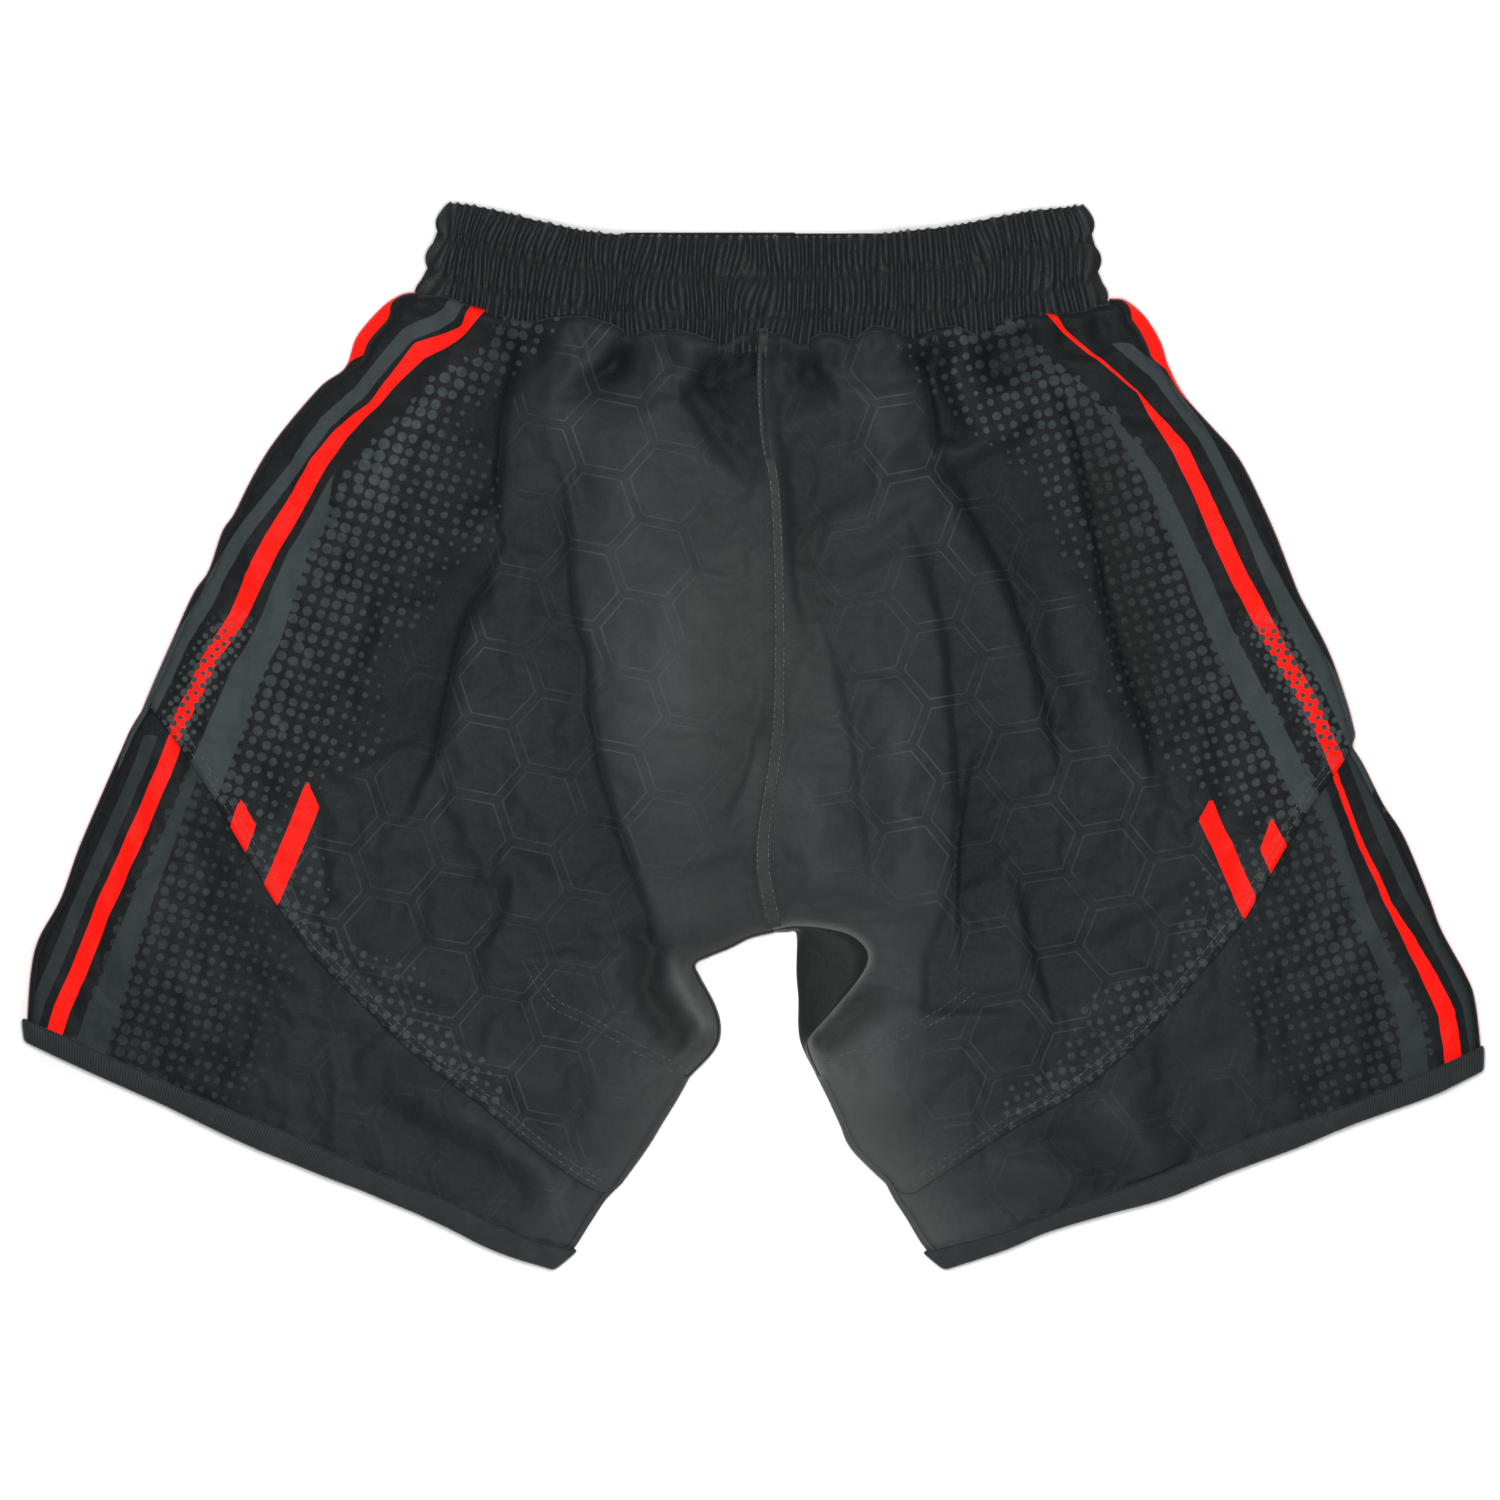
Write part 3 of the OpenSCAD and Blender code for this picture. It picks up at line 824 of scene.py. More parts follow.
# ---------------------------------------------------------------- materials
class Graph:
    """A material's nodes, built by small calls that pass sockets along."""

    def __init__(self, name):
        self.material = bpy.data.materials.new(name)
        self.material.use_nodes = True
        self.tree = self.material.node_tree
        self.shader = self.tree.nodes["Principled BSDF"]

    def put(self, kind, inputs=(), **settings):
        node = self.tree.nodes.new("ShaderNode" + kind)
        for key, value in settings.items():
            setattr(node, key, value)
        for key, value in dict(inputs).items():
            self.set(node.inputs[key], value)
        return node

    def set(self, socket, value):
        if isinstance(value, bpy.types.NodeSocket):
            self.tree.links.new(value, socket)
        else:
            socket.default_value = value

    def math(self, operation, *values):
        return self.put("Math", dict(enumerate(values)), operation=operation).outputs[0]

    def linear(self, value, factor, offset):
        """value * factor + offset"""
        return self.math("ADD", self.math("MULTIPLY", value, factor), offset)

    def millimetres(self):
        return self.scaled(self.put("TexCoord").outputs["Object"], 1000.0)

    def field(self, name):
        """The three numbers that the mesh stores at each point."""
        node = self.put("Attribute", attribute_name=name)
        split = self.put("SeparateXYZ", {0: node.outputs["Vector"]})
        return node.outputs["Vector"], split.outputs

    def step(self, value, edge, soft):
        """0 below the edge and 1 above it, with a soft change between."""
        node = self.put("MapRange", {"Value": value, "From Min": edge - soft,
                                     "From Max": edge + soft}, interpolation_type="SMOOTHSTEP")
        return node.outputs["Result"]

    def noise(self, vector, scale, detail=2.0, rough=0.5):
        node = self.put("TexNoise", {"Vector": vector, "Scale": scale, "Detail": detail,
                                     "Roughness": rough})
        return node.outputs["Fac"]

    def mix(self, factor, a, b):
        node = self.put("Mix", data_type="RGBA")
        self.set(node.inputs["Factor"], factor)
        self.set(node.inputs[6], a)
        self.set(node.inputs[7], b)
        return node.outputs[2]

    def scaled(self, colour, factor):
        """The colour made lighter or darker by a factor."""
        node = self.put("VectorMath", operation="SCALE")
        self.set(node.inputs[0], colour[:3] if isinstance(colour, tuple) else colour)
        self.set(node.inputs["Scale"], factor)
        return node.outputs[0]

    def bump(self, height, distance, strength=1.0, below=None):
        inputs = {"Height": height, "Distance": distance, "Strength": strength}
        if below is not None:
            inputs["Normal"] = below
        return self.put("Bump", inputs).outputs["Normal"]

    def finish(self, colour, normal, roughness, **constants):
        self.set(self.shader.inputs["Base Color"], colour)
        self.set(self.shader.inputs["Normal"], normal)
        self.set(self.shader.inputs["Roughness"], roughness)
        for key, value in constants.items():
            self.shader.inputs[key.replace("_", " ")].default_value = value
        return self.material


INK = (0.0052, 0.0064, 0.0070, 1)             # the print's black
SHELL = (0.0098, 0.0125, 0.0140, 1)
SHELL_WARM = (0.0370, 0.0375, 0.0370, 1)
GREY = (0.0330, 0.0430, 0.0450, 1)
DOT = (0.0300, 0.0385, 0.0410, 1)
RED_INK = (1.0, 0.0060, 0.0010, 1)
HEX_LINE = (0.0400, 0.0460, 0.0480, 1)
WORN_THROUGH = (0.040, 0.050, 0.052, 1)       # where dots break the red stripe up
# the pale colour of the painted highlight on the crotch's rims, the left ridge and the inner legs
PAINTED_HIGHLIGHT = (0.105, 0.108, 0.108, 1)
HEX_ACROSS = 38.5                             # from one hexagon's middle to the next
DOT_SPACING, SMALL_DOT_SPACING = 6.6, 4.6


def knit_bump(g, vector):
    """Fine knit over small crumples. The vector is in millimetres."""
    crumple = g.noise(vector, 0.085, 3.0, 0.55)
    first = g.bump(crumple, 0.0022, 0.55)
    loops = g.put("TexVoronoi", {"Vector": vector, "Scale": 1.15, "Randomness": 0.35})
    fine = g.bump(loops.outputs["Distance"], 0.00022, 0.6, first)
    return g.bump(g.noise(vector, 1.9, 3.0, 0.6), 0.00018, 0.5, fine)


def hexagons(g, plan, angle):
    """1 on the thin outlines of the printed hexagons."""
    turn = g.put("VectorRotate", {"Vector": plan, "Angle": math.radians(angle)},
                 rotation_type="Z_AXIS")
    across, high = HEX_ACROSS * math.sqrt(3), HEX_ACROSS

    def cell(shift):
        split = g.put("SeparateXYZ", {0: turn.outputs[0]}).outputs
        x = g.math("ADD", split[0], across * shift + 4000 * across)
        y = g.math("ADD", split[1], high * shift + 4000 * high)
        x = g.math("SUBTRACT", g.math("MODULO", x, across), across / 2)
        y = g.math("SUBTRACT", g.math("MODULO", y, high), high / 2)
        x, y = g.math("ABSOLUTE", x), g.math("ABSOLUTE", y)
        slant = g.linear(x, math.sqrt(3) / 2, g.math("MULTIPLY", y, 0.5))
        return g.math("MAXIMUM", y, slant)

    reach = g.math("MINIMUM", cell(0.0), cell(0.5))
    off = g.math("ABSOLUTE", g.math("SUBTRACT", reach, high / 2 - 2.4))
    return g.math("SUBTRACT", 1.0, g.step(off, 0.38, 0.28))


def dot_distance(g, plan, angle, size):
    """Distance in millimetres to the nearest of the print's dots."""
    turn = g.put("VectorRotate", {"Vector": plan, "Angle": math.radians(angle)},
                 rotation_type="Z_AXIS")
    cells = g.put("TexVoronoi", {"Vector": turn.outputs[0], "Scale": 1 / size,
                                 "Randomness": 0.28}, voronoi_dimensions="2D")
    return g.math("MULTIPLY", cells.outputs["Distance"], size)


def printed_cloth(name, hex_angle, dot_angle):
    g = Graph(name)
    plan, (_, _, wear_and_highlight) = g.field("plan")
    _, (s, half, dots) = g.field("stripe")
    _, (hexes, middle, eroded) = g.field("tone")
    _, (grey, accent, dark) = g.field("bands")
    _, (relief, tier, _) = g.field("relief")
    slow = g.noise(plan, 0.02, 3.0, 0.5)
    # the paler, warmer middle: partly the print's own fade, partly a painted highlight
    colour = g.mix(middle, SHELL, SHELL_WARM)
    colour = g.scaled(colour, g.linear(slow, 0.7, 0.65))
    # Painted shade and highlight: the colour darkens in the folds' valleys and pales on their
    # crests, by the relief.
    painted_fold_shading = g.linear(relief, 0.1, 0.97)
    painted_fold_shading = g.math("MINIMUM", g.math("MAXIMUM", painted_fold_shading, 0.4), 1.45)
    line = g.math("MULTIPLY", hexagons(g, plan, hex_angle), hexes)
    patchy = g.step(g.noise(plan, 0.035, 2.0), 0.46, 0.16)
    line = g.math("MULTIPLY", line, g.linear(patchy, 0.5, 0.12))
    colour = g.mix(line, colour, HEX_LINE)
    colour = g.mix(dark, colour, INK)
    distance = dot_distance(g, plan, dot_angle, DOT_SPACING)
    wobble = g.linear(g.noise(plan, 0.06, 3.0), 3.4, -1.7)
    dot = g.step(g.math("SUBTRACT", g.math("ADD", dots, wobble), distance), 0.0, 0.35)
    dot = g.math("MULTIPLY", dot, g.step(dots, 0.45, 0.2))
    fleck = g.linear(g.noise(plan, 0.22, 3.0), 1.3, 0.3)
    colour = g.mix(dot, colour, g.scaled(DOT, g.math("MULTIPLY", fleck, tier)))
    colour = g.mix(g.step(grey, 0.0, 0.35), colour, g.scaled(GREY, tier))
    off = g.math("ABSOLUTE", s)
    red = g.step(g.math("SUBTRACT", half, off), 0.0, 0.3)
    near = g.math("SUBTRACT", 1.0, g.step(off, 12.0, 2.0))
    small = dot_distance(g, plan, dot_angle + 31, SMALL_DOT_SPACING)
    from_middle = g.math("ABSOLUTE", g.math("SUBTRACT", off, 5.0))
    hole = g.math("SUBTRACT", g.linear(from_middle, -0.22, 2.15), small)
    hole = g.math("MULTIPLY", g.step(hole, 0.0, 0.25), g.math("MULTIPLY", eroded, near))
    colour = g.mix(red, colour, RED_INK)
    colour = g.mix(hole, colour, WORN_THROUGH)
    colour = g.mix(g.step(accent, 0.0, 0.3), colour, RED_INK)
    # painted highlight on the crotch's rims, the left ridge and the inner legs
    colour = g.mix(wear_and_highlight, colour, PAINTED_HIGHLIGHT)
    vivid = g.math("MAXIMUM", g.math("MULTIPLY", red, g.math("SUBTRACT", 1.0, hole)),
                   g.step(accent, 0.0, 0.3))
    # The red keeps its colour; the rest takes the painted fold shade and highlight.
    colour = g.mix(vivid, g.scaled(colour, painted_fold_shading), colour)
    rough = g.linear(g.noise(plan, 0.4, 2.0), 0.2, 0.5)
    normal = knit_bump(g, plan)
    g.set(g.shader.inputs["Sheen Weight"], g.linear(vivid, -0.06, 0.07))
    return g.finish(colour, normal, rough, Sheen_Roughness=0.45, Sheen_Tint=(0.8, 0.9, 1.0, 1),
                    Specular_IOR_Level=0.14)


def plain_knit(name, colour, scale=1.0, rough=0.6, sheen=0.15, crumple=0.0012):
    """Plain dyed knit with a little mottling and wear."""
    g = Graph(name)
    vector = g.millimetres()
    mottled = g.linear(g.noise(vector, 0.12 * scale, 3.0), 0.5, 0.75)
    wear_and_highlight = g.step(g.noise(vector, 0.05, 4.0, 0.7), 0.62, 0.1)
    shade = g.scaled(colour, mottled)
    shade = g.mix(g.math("MULTIPLY", wear_and_highlight, 0.25), shade, tuple(min(1, c * 2) for c in colour[:3])
                  + (1,))
    loops = g.put("TexVoronoi", {"Vector": vector, "Scale": 1.1 * scale, "Randomness": 0.3})
    first = g.bump(g.noise(vector, 0.2, 3.0), crumple, 0.6)
    normal = g.bump(loops.outputs["Distance"], 0.00022, 0.8, first)
    roughness = g.linear(g.noise(vector, 0.5, 2.0), 0.2, rough - 0.1)
    return g.finish(shade, normal, roughness, Sheen_Weight=sheen, Sheen_Roughness=0.4,
                    Specular_IOR_Level=0.14)


def ribbed_knit(name, colour, pitch, rough=0.55):
    """Knit with fine ribs across the strip. Field "rib" holds the way along it."""
    g = Graph(name)
    _, (u, _, _) = g.field("rib")
    wave = g.math("SINE", g.math("MULTIPLY", u, 2 * math.pi / pitch))
    height = g.linear(wave, 0.5, 0.5)
    # painted shade in the rib troughs and painted highlight on the ribs
    shade = g.scaled(colour, g.linear(height, 0.35, 0.8))
    place = g.millimetres()
    shade = g.mix(g.math("MULTIPLY", g.step(g.noise(place, 0.1, 3.0), 0.6, 0.1), 0.3), shade,
                  tuple(c * 1.8 for c in colour[:3]) + (1,))
    first = g.bump(height, 0.00025, 0.7)
    normal = g.bump(g.noise(place, 1.6, 3.0), 0.0003, 0.6, first)
    roughness = g.linear(g.noise(place, 0.5, 2.0), 0.2, rough - 0.1)
    return g.finish(shade, normal, roughness, Sheen_Weight=0.1, Sheen_Roughness=0.4,
                    Specular_IOR_Level=0.14)


def gathered_knit():
    """The waistband's cloth, paler in patches on the gathers' crests as a painted highlight."""
    g = Graph("gathered_knit")
    place = g.millimetres()
    _, (crest, _, _) = g.field("crest")
    patchy = g.step(g.noise(place, 0.16, 4.0, 0.7), 0.5, 0.22)
    # painted highlight on the gathers' crests, in patches
    painted_fold_shading = g.math("MULTIPLY", g.step(crest, 0.62, 0.5), g.linear(patchy, 0.65, 0.2))
    shade = g.mix(painted_fold_shading, (0.0064, 0.0082, 0.0086, 1), (0.0270, 0.0340, 0.0360, 1))
    first = g.bump(g.noise(place, 0.5, 3.0), 0.0006, 0.5)
    loops = g.put("TexVoronoi", {"Vector": place, "Scale": 1.2, "Randomness": 0.3})
    normal = g.bump(loops.outputs["Distance"], 0.0002, 0.7, first)
    roughness = g.linear(g.noise(place, 0.5, 2.0), 0.2, 0.42)
    return g.finish(shade, normal, roughness, Sheen_Weight=0.08, Sheen_Roughness=0.4,
                    Specular_IOR_Level=0.2)


def thread_material():
    g = Graph("thread")
    place = g.millimetres()
    fleck = g.step(g.noise(place, 0.35, 2.0), 0.52, 0.08)
    colour = g.mix(g.math("MULTIPLY", fleck, 0.8), (0.035, 0.038, 0.039, 1),
                   (0.11, 0.115, 0.115, 1))
    twist = g.put("TexWave", {"Vector": place, "Scale": 1.4, "Distortion": 1.0})
    normal = g.bump(twist.outputs["Fac"], 0.0001, 0.8)
    rough = g.linear(fleck, 0.15, 0.45)
    return g.finish(colour, normal, rough, Sheen_Weight=0.1)


def floor_material():
    g = Graph("floor")
    place = g.put("TexCoord").outputs["Object"]
    tone = g.linear(g.noise(place, 1.5, 2.0), 0.02, 0.93)
    colour = g.scaled((1.0, 1.0, 1.0), tone)
    normal = g.bump(g.noise(place, 60.0, 2.0), 0.0002, 0.1)
    return g.finish(colour, normal, 0.9, Specular_IOR_Level=0.0)


# ---------------------------------------------------------------- the pieces
MATERIALS = {}


def make_materials():
    MATERIALS["left_print"] = printed_cloth("left_shell_print", 11, 17)
    MATERIALS["right_print"] = printed_cloth("right_shell_print", -10, -17)
    # The gusset's plain knit, made darker as painted shade for the recess under the crotch's rim.
    MATERIALS["gusset"] = plain_knit("gusset_knit_painted_shade", (0.010, 0.011, 0.011, 1))
    MATERIALS["band"] = plain_knit("waistband_knit", (0.0105, 0.0135, 0.0140, 1), 1.3, 0.5, 0.12)
    MATERIALS["gathers"] = gathered_knit()
    MATERIALS["seam"] = plain_knit("seam_knit", (0.024, 0.025, 0.025, 1))
    MATERIALS["binding"] = ribbed_knit("binding_rib", (0.0165, 0.0205, 0.0215, 1), 1.5)
    MATERIALS["elastic"] = ribbed_knit("elastic_rib", (0.02, 0.02, 0.021, 1), 2.0)
    MATERIALS["hook"] = ribbed_knit("hook_tape", (0.012, 0.012, 0.013, 1), 1.2, 0.4)
    MATERIALS["loop"] = plain_knit("loop_tape", (0.016, 0.016, 0.017, 1), 2.0, 0.9, 0.5)
    MATERIALS["thread"] = thread_material()


def sheet(replaces=()):
    if replaces:
        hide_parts(*replaces)


OVERLAY_ROWS = (3.0, 6.2)                     # its rows of stitches, from the overlay's edge
UPPER_SPARE, HEM_SPARE = 0.02, 0.012          # the shares of extra cloth that buckle
TIER_STEP = 2.3                               # how far the lower tier lies under the upper one
GUSSET_ROWS = (0.0, 4.5)                      # and those of the gusset's seam


def upper_z(side):
    """The upper tier. Its curved edge is turned under, so that it stands a little thicker."""
    def height(xy):
        edge = distance_to(curve(OUTLINES[side]["overlay"]), xy)
        rim = distance_to(curve(OUTLINES[side]["crotch_rim"]), xy)
        groove = sum(hill(edge - row, 0.9) for row in OVERLAY_ROWS)
        lift = 1.1 / (1 + np.exp((edge - 8.0) / 0.8)) - 0.35 * groove
        return back_height(side, xy) + lift + 1.8 * hill(rim - 1.5, 1.8)
    return height


def lower_z(side):
    return lambda xy: back_height(side, xy) - TIER_STEP


def build_layers(side):
    """Both tiers of the back and of the front."""
    edges = back_edges(side)
    material = MATERIALS[side + "_print"]
    upper = cloth_panel(side + "_back_cloth", side, "upper", half_layer(side, edges),
                        upper_z(side), material, True, UPPER_SPARE)
    hem = cloth_panel(side + "_back_hem_cloth", side, "lower", hem_layer(side, edges),
                      lower_z(side), material, True, HEM_SPARE)
    front = front_edges(side)
    face = cloth_panel(side + "_front_cloth", side, "upper", half_layer(side, front),
                       front_height, material, False)
    face_hem = cloth_panel(side + "_front_hem_cloth", side, "lower", hem_layer(side, front),
                           lambda xy: front_height(xy) + 1.0, material, False)
    return upper, hem, face, face_hem


def build_edges(side):
    """The turns of the cloth between back and front: the side's, the crotch's and the inseam's."""
    o = OUTLINES[side]
    back, front = back_edges(side), front_edges(side)
    material = MATERIALS[side + "_print"]
    turn = 18 if side == "left" else 0

    def step_down(xy):
        return back_height(side, xy) - 2.2 * smoothstep(turn + 3, turn - 8, xy[:, 1])

    def both(edges):
        return np.vstack([edges["side"], edges["side_hem"][6:]])

    outline = np.vstack([curve(o["side"]), curve(o["side_hem"])[6:]])
    side_cloth = edge_strip(side + "_side_cloth", side, "upper", both(back), outline,
                            both(front), step_down, material)
    gusset = edge_strip(side + "_gusset_cloth", side, "upper", back["crotch"],
                        curve(o["crotch"]), front["crotch"], upper_z(side),
                        MATERIALS["gusset"], drop=1.0 if side == "left" else 3.2)
    inner = np.vstack([curve(o["inseam"]), curve(o["inseam_hem"])[2:]])
    inseam = edge_strip(side + "_inseam_cloth", side, "upper",
                        np.vstack([back["inseam"], back["inseam_hem"][2:]]), inner,
                        np.vstack([front["inseam"], front["inseam_hem"][2:]]),
                        lambda xy: back_height(side, xy) - 2.2 * smoothstep(-222, -232, xy[:, 1]),
                        material)
    return side_cloth, gusset, inseam


BINDING_TOP = {
    "left": [(-372, -146), (-345, -157), (-280, -186), (-240, -202), (-200, -220), (-160, -236),
             (-120, -255), (-93, -263)],
    "right": [(371, -160), (330, -178), (300, -190), (260, -203), (220, -219), (190, -231),
              (160, -241), (130, -253), (89, -264)],
}


# The band's section: how far up it and how far out, as shares of its half width and thickness.
BINDING_ROUND = [(1, 0), (0.93, 0.62), (0.72, 0.95), (0.3, 1.05), (-0.3, 1.05), (-0.72, 0.95),
                 (-0.93, 0.62), (-1, 0), (-0.93, -0.62), (-0.72, -0.9), (0, -0.95),
                 (0.72, -0.9), (0.93, -0.62)]
BINDING_HALF = 1.25


def build_binding(side):
    """A knitted band round the leg opening: down the back, round an end and along the front."""
    o = OUTLINES[side]
    n = 150
    low, high = spread(curve(o["hem"]), n), spread(curve(BINDING_TOP[side]), n)
    top = np.maximum(back_height(side, (low + high) / 2) - 1.2, 5.5)
    bottom = front_height(low) + 1.5
    rings, ribs = [], []
    turn = np.linspace(0, math.pi, 9)[1:-1]
    loop = [(i, 1.0, 0.0) for i in range(n)]
    loop += [(n - 1, math.cos(w), math.sin(w)) for w in turn]
    loop += [(i, -1.0, 0.0) for i in range(n)[::-1]]
    loop += [(0, -math.cos(w), -math.sin(w)) for w in turn]
    way = np.gradient(low, axis=0)
    way /= np.linalg.norm(way, axis=1)[:, None]
    way_along = 0.0
    before = None
    for i, lift, out in loop:
        half = (top[i] - bottom[i]) / 2
        middle = (top[i] + bottom[i]) / 2
        centre = (low[i] + high[i]) / 2 + way[i] * out * half * 0.9
        z = middle + lift * half
        up = (high[i] - low[i]) / 2
        ring = []
        for a, b in BINDING_ROUND:
            thick = BINDING_HALF * b
            p = centre + up * a + way[i] * out * thick
            ring.append((p[0], p[1], z + lift * thick))
        rings.append(ring)
        here = np.array((centre[0], centre[1], z))
        way_along += 0 if before is None else float(np.linalg.norm(here - before))
        before = here
        ribs += [way_along] * len(BINDING_ROUND)
    return solid(side + "_binding", rings, MATERIALS["binding"], True, ribs, closed_path=True)


def build_seams(side, upper):
    """Rows of stitches on the back: two along the overlay's edge and two on the gusset seam."""
    overlay, height = curve(OUTLINES[side]["overlay"])[8:-6], on_cloth(upper)
    pieces = []
    for name, path, distances in (("_overlay_stitches", overlay, OVERLAY_ROWS),
                                  ("_gusset_stitches", curve(GUSSET_SEAM[side]), GUSSET_ROWS)):
        rows = []
        for d in distances:
            rows += stitch_row(inset(path, d, BODY), height)
        pieces.append(joined(side + name, MATERIALS["thread"], rows))
    return pieces


GUSSET_SEAM = {
    "left": [(-38, -174), (-60, -162), (-85, -148), (-105, -137), (-118, -115)],
    "right": [(36, -172), (60, -162), (85, -150), (100, -142), (114, -130)],
}


BAND_TOP = [(-157, 272), (-140, 269.5), (-120, 264.5), (-100, 259.5), (-80, 255.5), (-50, 253.5),
            (0, 253), (50, 253.5), (80, 256.5), (100, 259), (120, 263), (140, 267), (170, 271)]
BAND_LOW = [(-173, 220), (-145, 211), (-113, 203), (-75, 199), (-40, 196), (-16, 193), (8, 194),
            (35, 195), (65, 197), (100, 199), (135, 206), (160, 211), (180, 218)]
PLEATS = 68
PLEAT_DEPTH = 2.9
BAND_LENGTH = 330
BAND_ROWS = (0.33, 0.68)                      # its rows of stitches, from its top edge down


def band_ripple(u, v):
    """Height and sideways shift of the gathers. u runs along the band and v down it."""
    wobble = np.array([noise.noise(Vector((a * 14, 1.6 * b, 2.0))) for a, b in zip(u, v)])
    uneven = np.array([noise.noise(Vector((a * 40, 2.5 * b, 5.0))) for a, b in zip(u, v)])
    phase = PLEATS * u + 1.1 * wobble + 0.25 * uneven
    crest = 1 - np.abs(np.sin(math.pi * phase)) ** 0.75
    first, second = BAND_ROWS
    pinched = hill(np.minimum(np.abs(v - first), np.abs(v - second) * 1.4), 0.05)
    puff = PLEAT_DEPTH * (1 - 0.62 * pinched) * (1 + 0.7 * uneven) * (1.0 - 0.35 * hill(v, 0.05))
    return puff * crest - 1.1 * pinched + 0.5 * uneven, wobble


def band_points(n):
    return spread(curve(BAND_TOP, 1.0), n), spread(curve(BAND_LOW, 1.0), n)


def build_casing():
    """The gathered casing: cloth folded over the elastic, down both of its sides. Each of its rows
    lies a share v of the way down the band, on the outer (1), top (0) or inner (-1) face."""
    n = 820
    top, low = band_points(n)
    u = np.linspace(0, 1, n)
    outer = np.concatenate([np.linspace(0, 0.1, 5), np.linspace(0.13, 1, 24)])
    inner = np.linspace(1, 0.04, 9)
    rows = [(v, -1) for v in inner] + [(0.0, 0)] + [(v, 1) for v in outer[1:]]
    ends = np.exp(-np.minimum(u, 1 - u) * BAND_LENGTH / 4.5)
    verts, crests = [], []
    for v, face in rows:
        p = top * (1 - v) + low * v
        ripple, wobble = band_ripple(u, np.full(n, v))
        crests.append(np.clip(ripple / 2.6, 0, 1))
        upright = arch(p[:, 0])
        z = upright + 0.2 + ripple if face > 0 else upright - 4.6 - 0.5 * ripple
        if face == 0:
            z = upright - 2.0
        round_top = 1.6 * float(hill(v, 0.035))
        z = z - (round_top if face > 0 else -round_top)
        z = z + (upright - 2.2 - z) * ends
        y = p[:, 1] + 0.6 * (ripple - 1.0) * float(hill(v, 0.12))
        first, second = BAND_ROWS
        bulge = abs(math.sin(math.pi * (v / first if v < first else (v - first) / (second - first))))
        x = p[:, 0] + 0.5 * wobble * float(hill(v, 0.3))
        x = x + np.sign(u - 0.5) * ends * 4.5 * (bulge - 0.45)
        verts.append(np.column_stack([x, y, z]))
    verts = np.array(verts)
    points = verts.transpose(1, 0, 2).reshape(-1, 3)
    obj = mesh_object("waistband_casing", points, grid_faces(n, len(rows)), MATERIALS["gathers"])
    crest = np.array(crests).T.ravel()
    set_field(obj, "crest", crest, crest * 0, crest * 0)
    apply_modifier(obj, "SOLIDIFY", thickness=0.4 * MM, offset=0.0, use_rim=True)
    face_outwards(obj)
    return obj


def build_elastic():
    """The elastic inside the casing. It ends a little short of the casing's ends."""
    n = 160
    top, low = band_points(n)
    rings, ribs = [], []
    for i in range(7, n - 7):
        a = top[i] + (low[i] - top[i]) * 0.1
        b = top[i] + (low[i] - top[i]) * 0.86
        z = float(arch(top[i][0])) - 3.2
        rings.append([(a[0], a[1], z), (a[0], a[1], z + 1.0), (b[0], b[1], z + 1.0),
                      (b[0], b[1], z)])
        ribs += [i * 2.1] * 4
    return solid("waistband_elastic_core", rings, MATERIALS["elastic"], False, ribs)


def band_top_y(x):
    """The front band's upper edge. It shows above the back band only in the middle."""
    xs, ys = zip(*BAND_TOP)
    hidden = float(np.interp(x, xs, ys)) - 1.5
    return max(hidden, 257.4) if -66.1 < x < 90 else hidden


def band_low_y(x):
    """The front band's lower edge."""
    return 203 + 17 * (x / 172) ** 2


# The front band's upper face: the share of the way down it, and the share of its thickness.
BAND_FACE = ((0.0, 0.5), (0.012, 1.0), (0.05, 1.0), (0.3, 1.0), (0.7, 1.0), (0.95, 1.0),
             (0.988, 1.0), (1.0, 0.5))


def flat_band(name, x0, x1, z_of, thick, material, slant=0.0):
    """A flat strip of the front waistband between two x, with soft edges."""
    n = max(6, int((x1 - x0) / 4))
    rings = []
    for x in np.linspace(x0, x1, n):
        hi, lo = band_top_y(x), band_low_y(x)
        ring = []
        for t, w in BAND_FACE:
            y = hi + (lo - hi) * t
            wave = 0.25 * noise.noise(Vector((x / 22, y / 22, 4.0)))
            ring.append((x + slant * t * abs(x / 160) ** 3, y,
                         z_of(x) + thick * w + wave * (w > 0.6)))
        for t in (0.988, 0.5, 0.012):
            ring.append((x + slant * t * abs(x / 160) ** 3, hi + (lo - hi) * t, z_of(x)))
        rings.append(ring)
    return solid(name, rings, material)


def build_front_band():
    """The front waistband: an underlap on the left, the right side, and the flap between."""
    left = flat_band("front_band_left", -157, 21,
                     lambda x: 0.3 + 2.6 * float(smoothstep(-71, -67, x))
                     + 4.0 * float(smoothstep(-145, -157, x)), 1.4, MATERIALS["band"], -10)
    right = flat_band("front_band_right", 40.1, 166,
                      lambda x: 0.3 + 4.0 * float(smoothstep(153, 166, x)), 1.4,
                      MATERIALS["band"], 8)
    flap = flat_band("closure_flap_cloth", -66, 40.0, lambda x: 0.1, 1.2, MATERIALS["band"])
    return left, right, flap


TAPE_X, TAPE_Y, TAPE_THICK = (-60, 16), (213.5, 243.5), 0.5


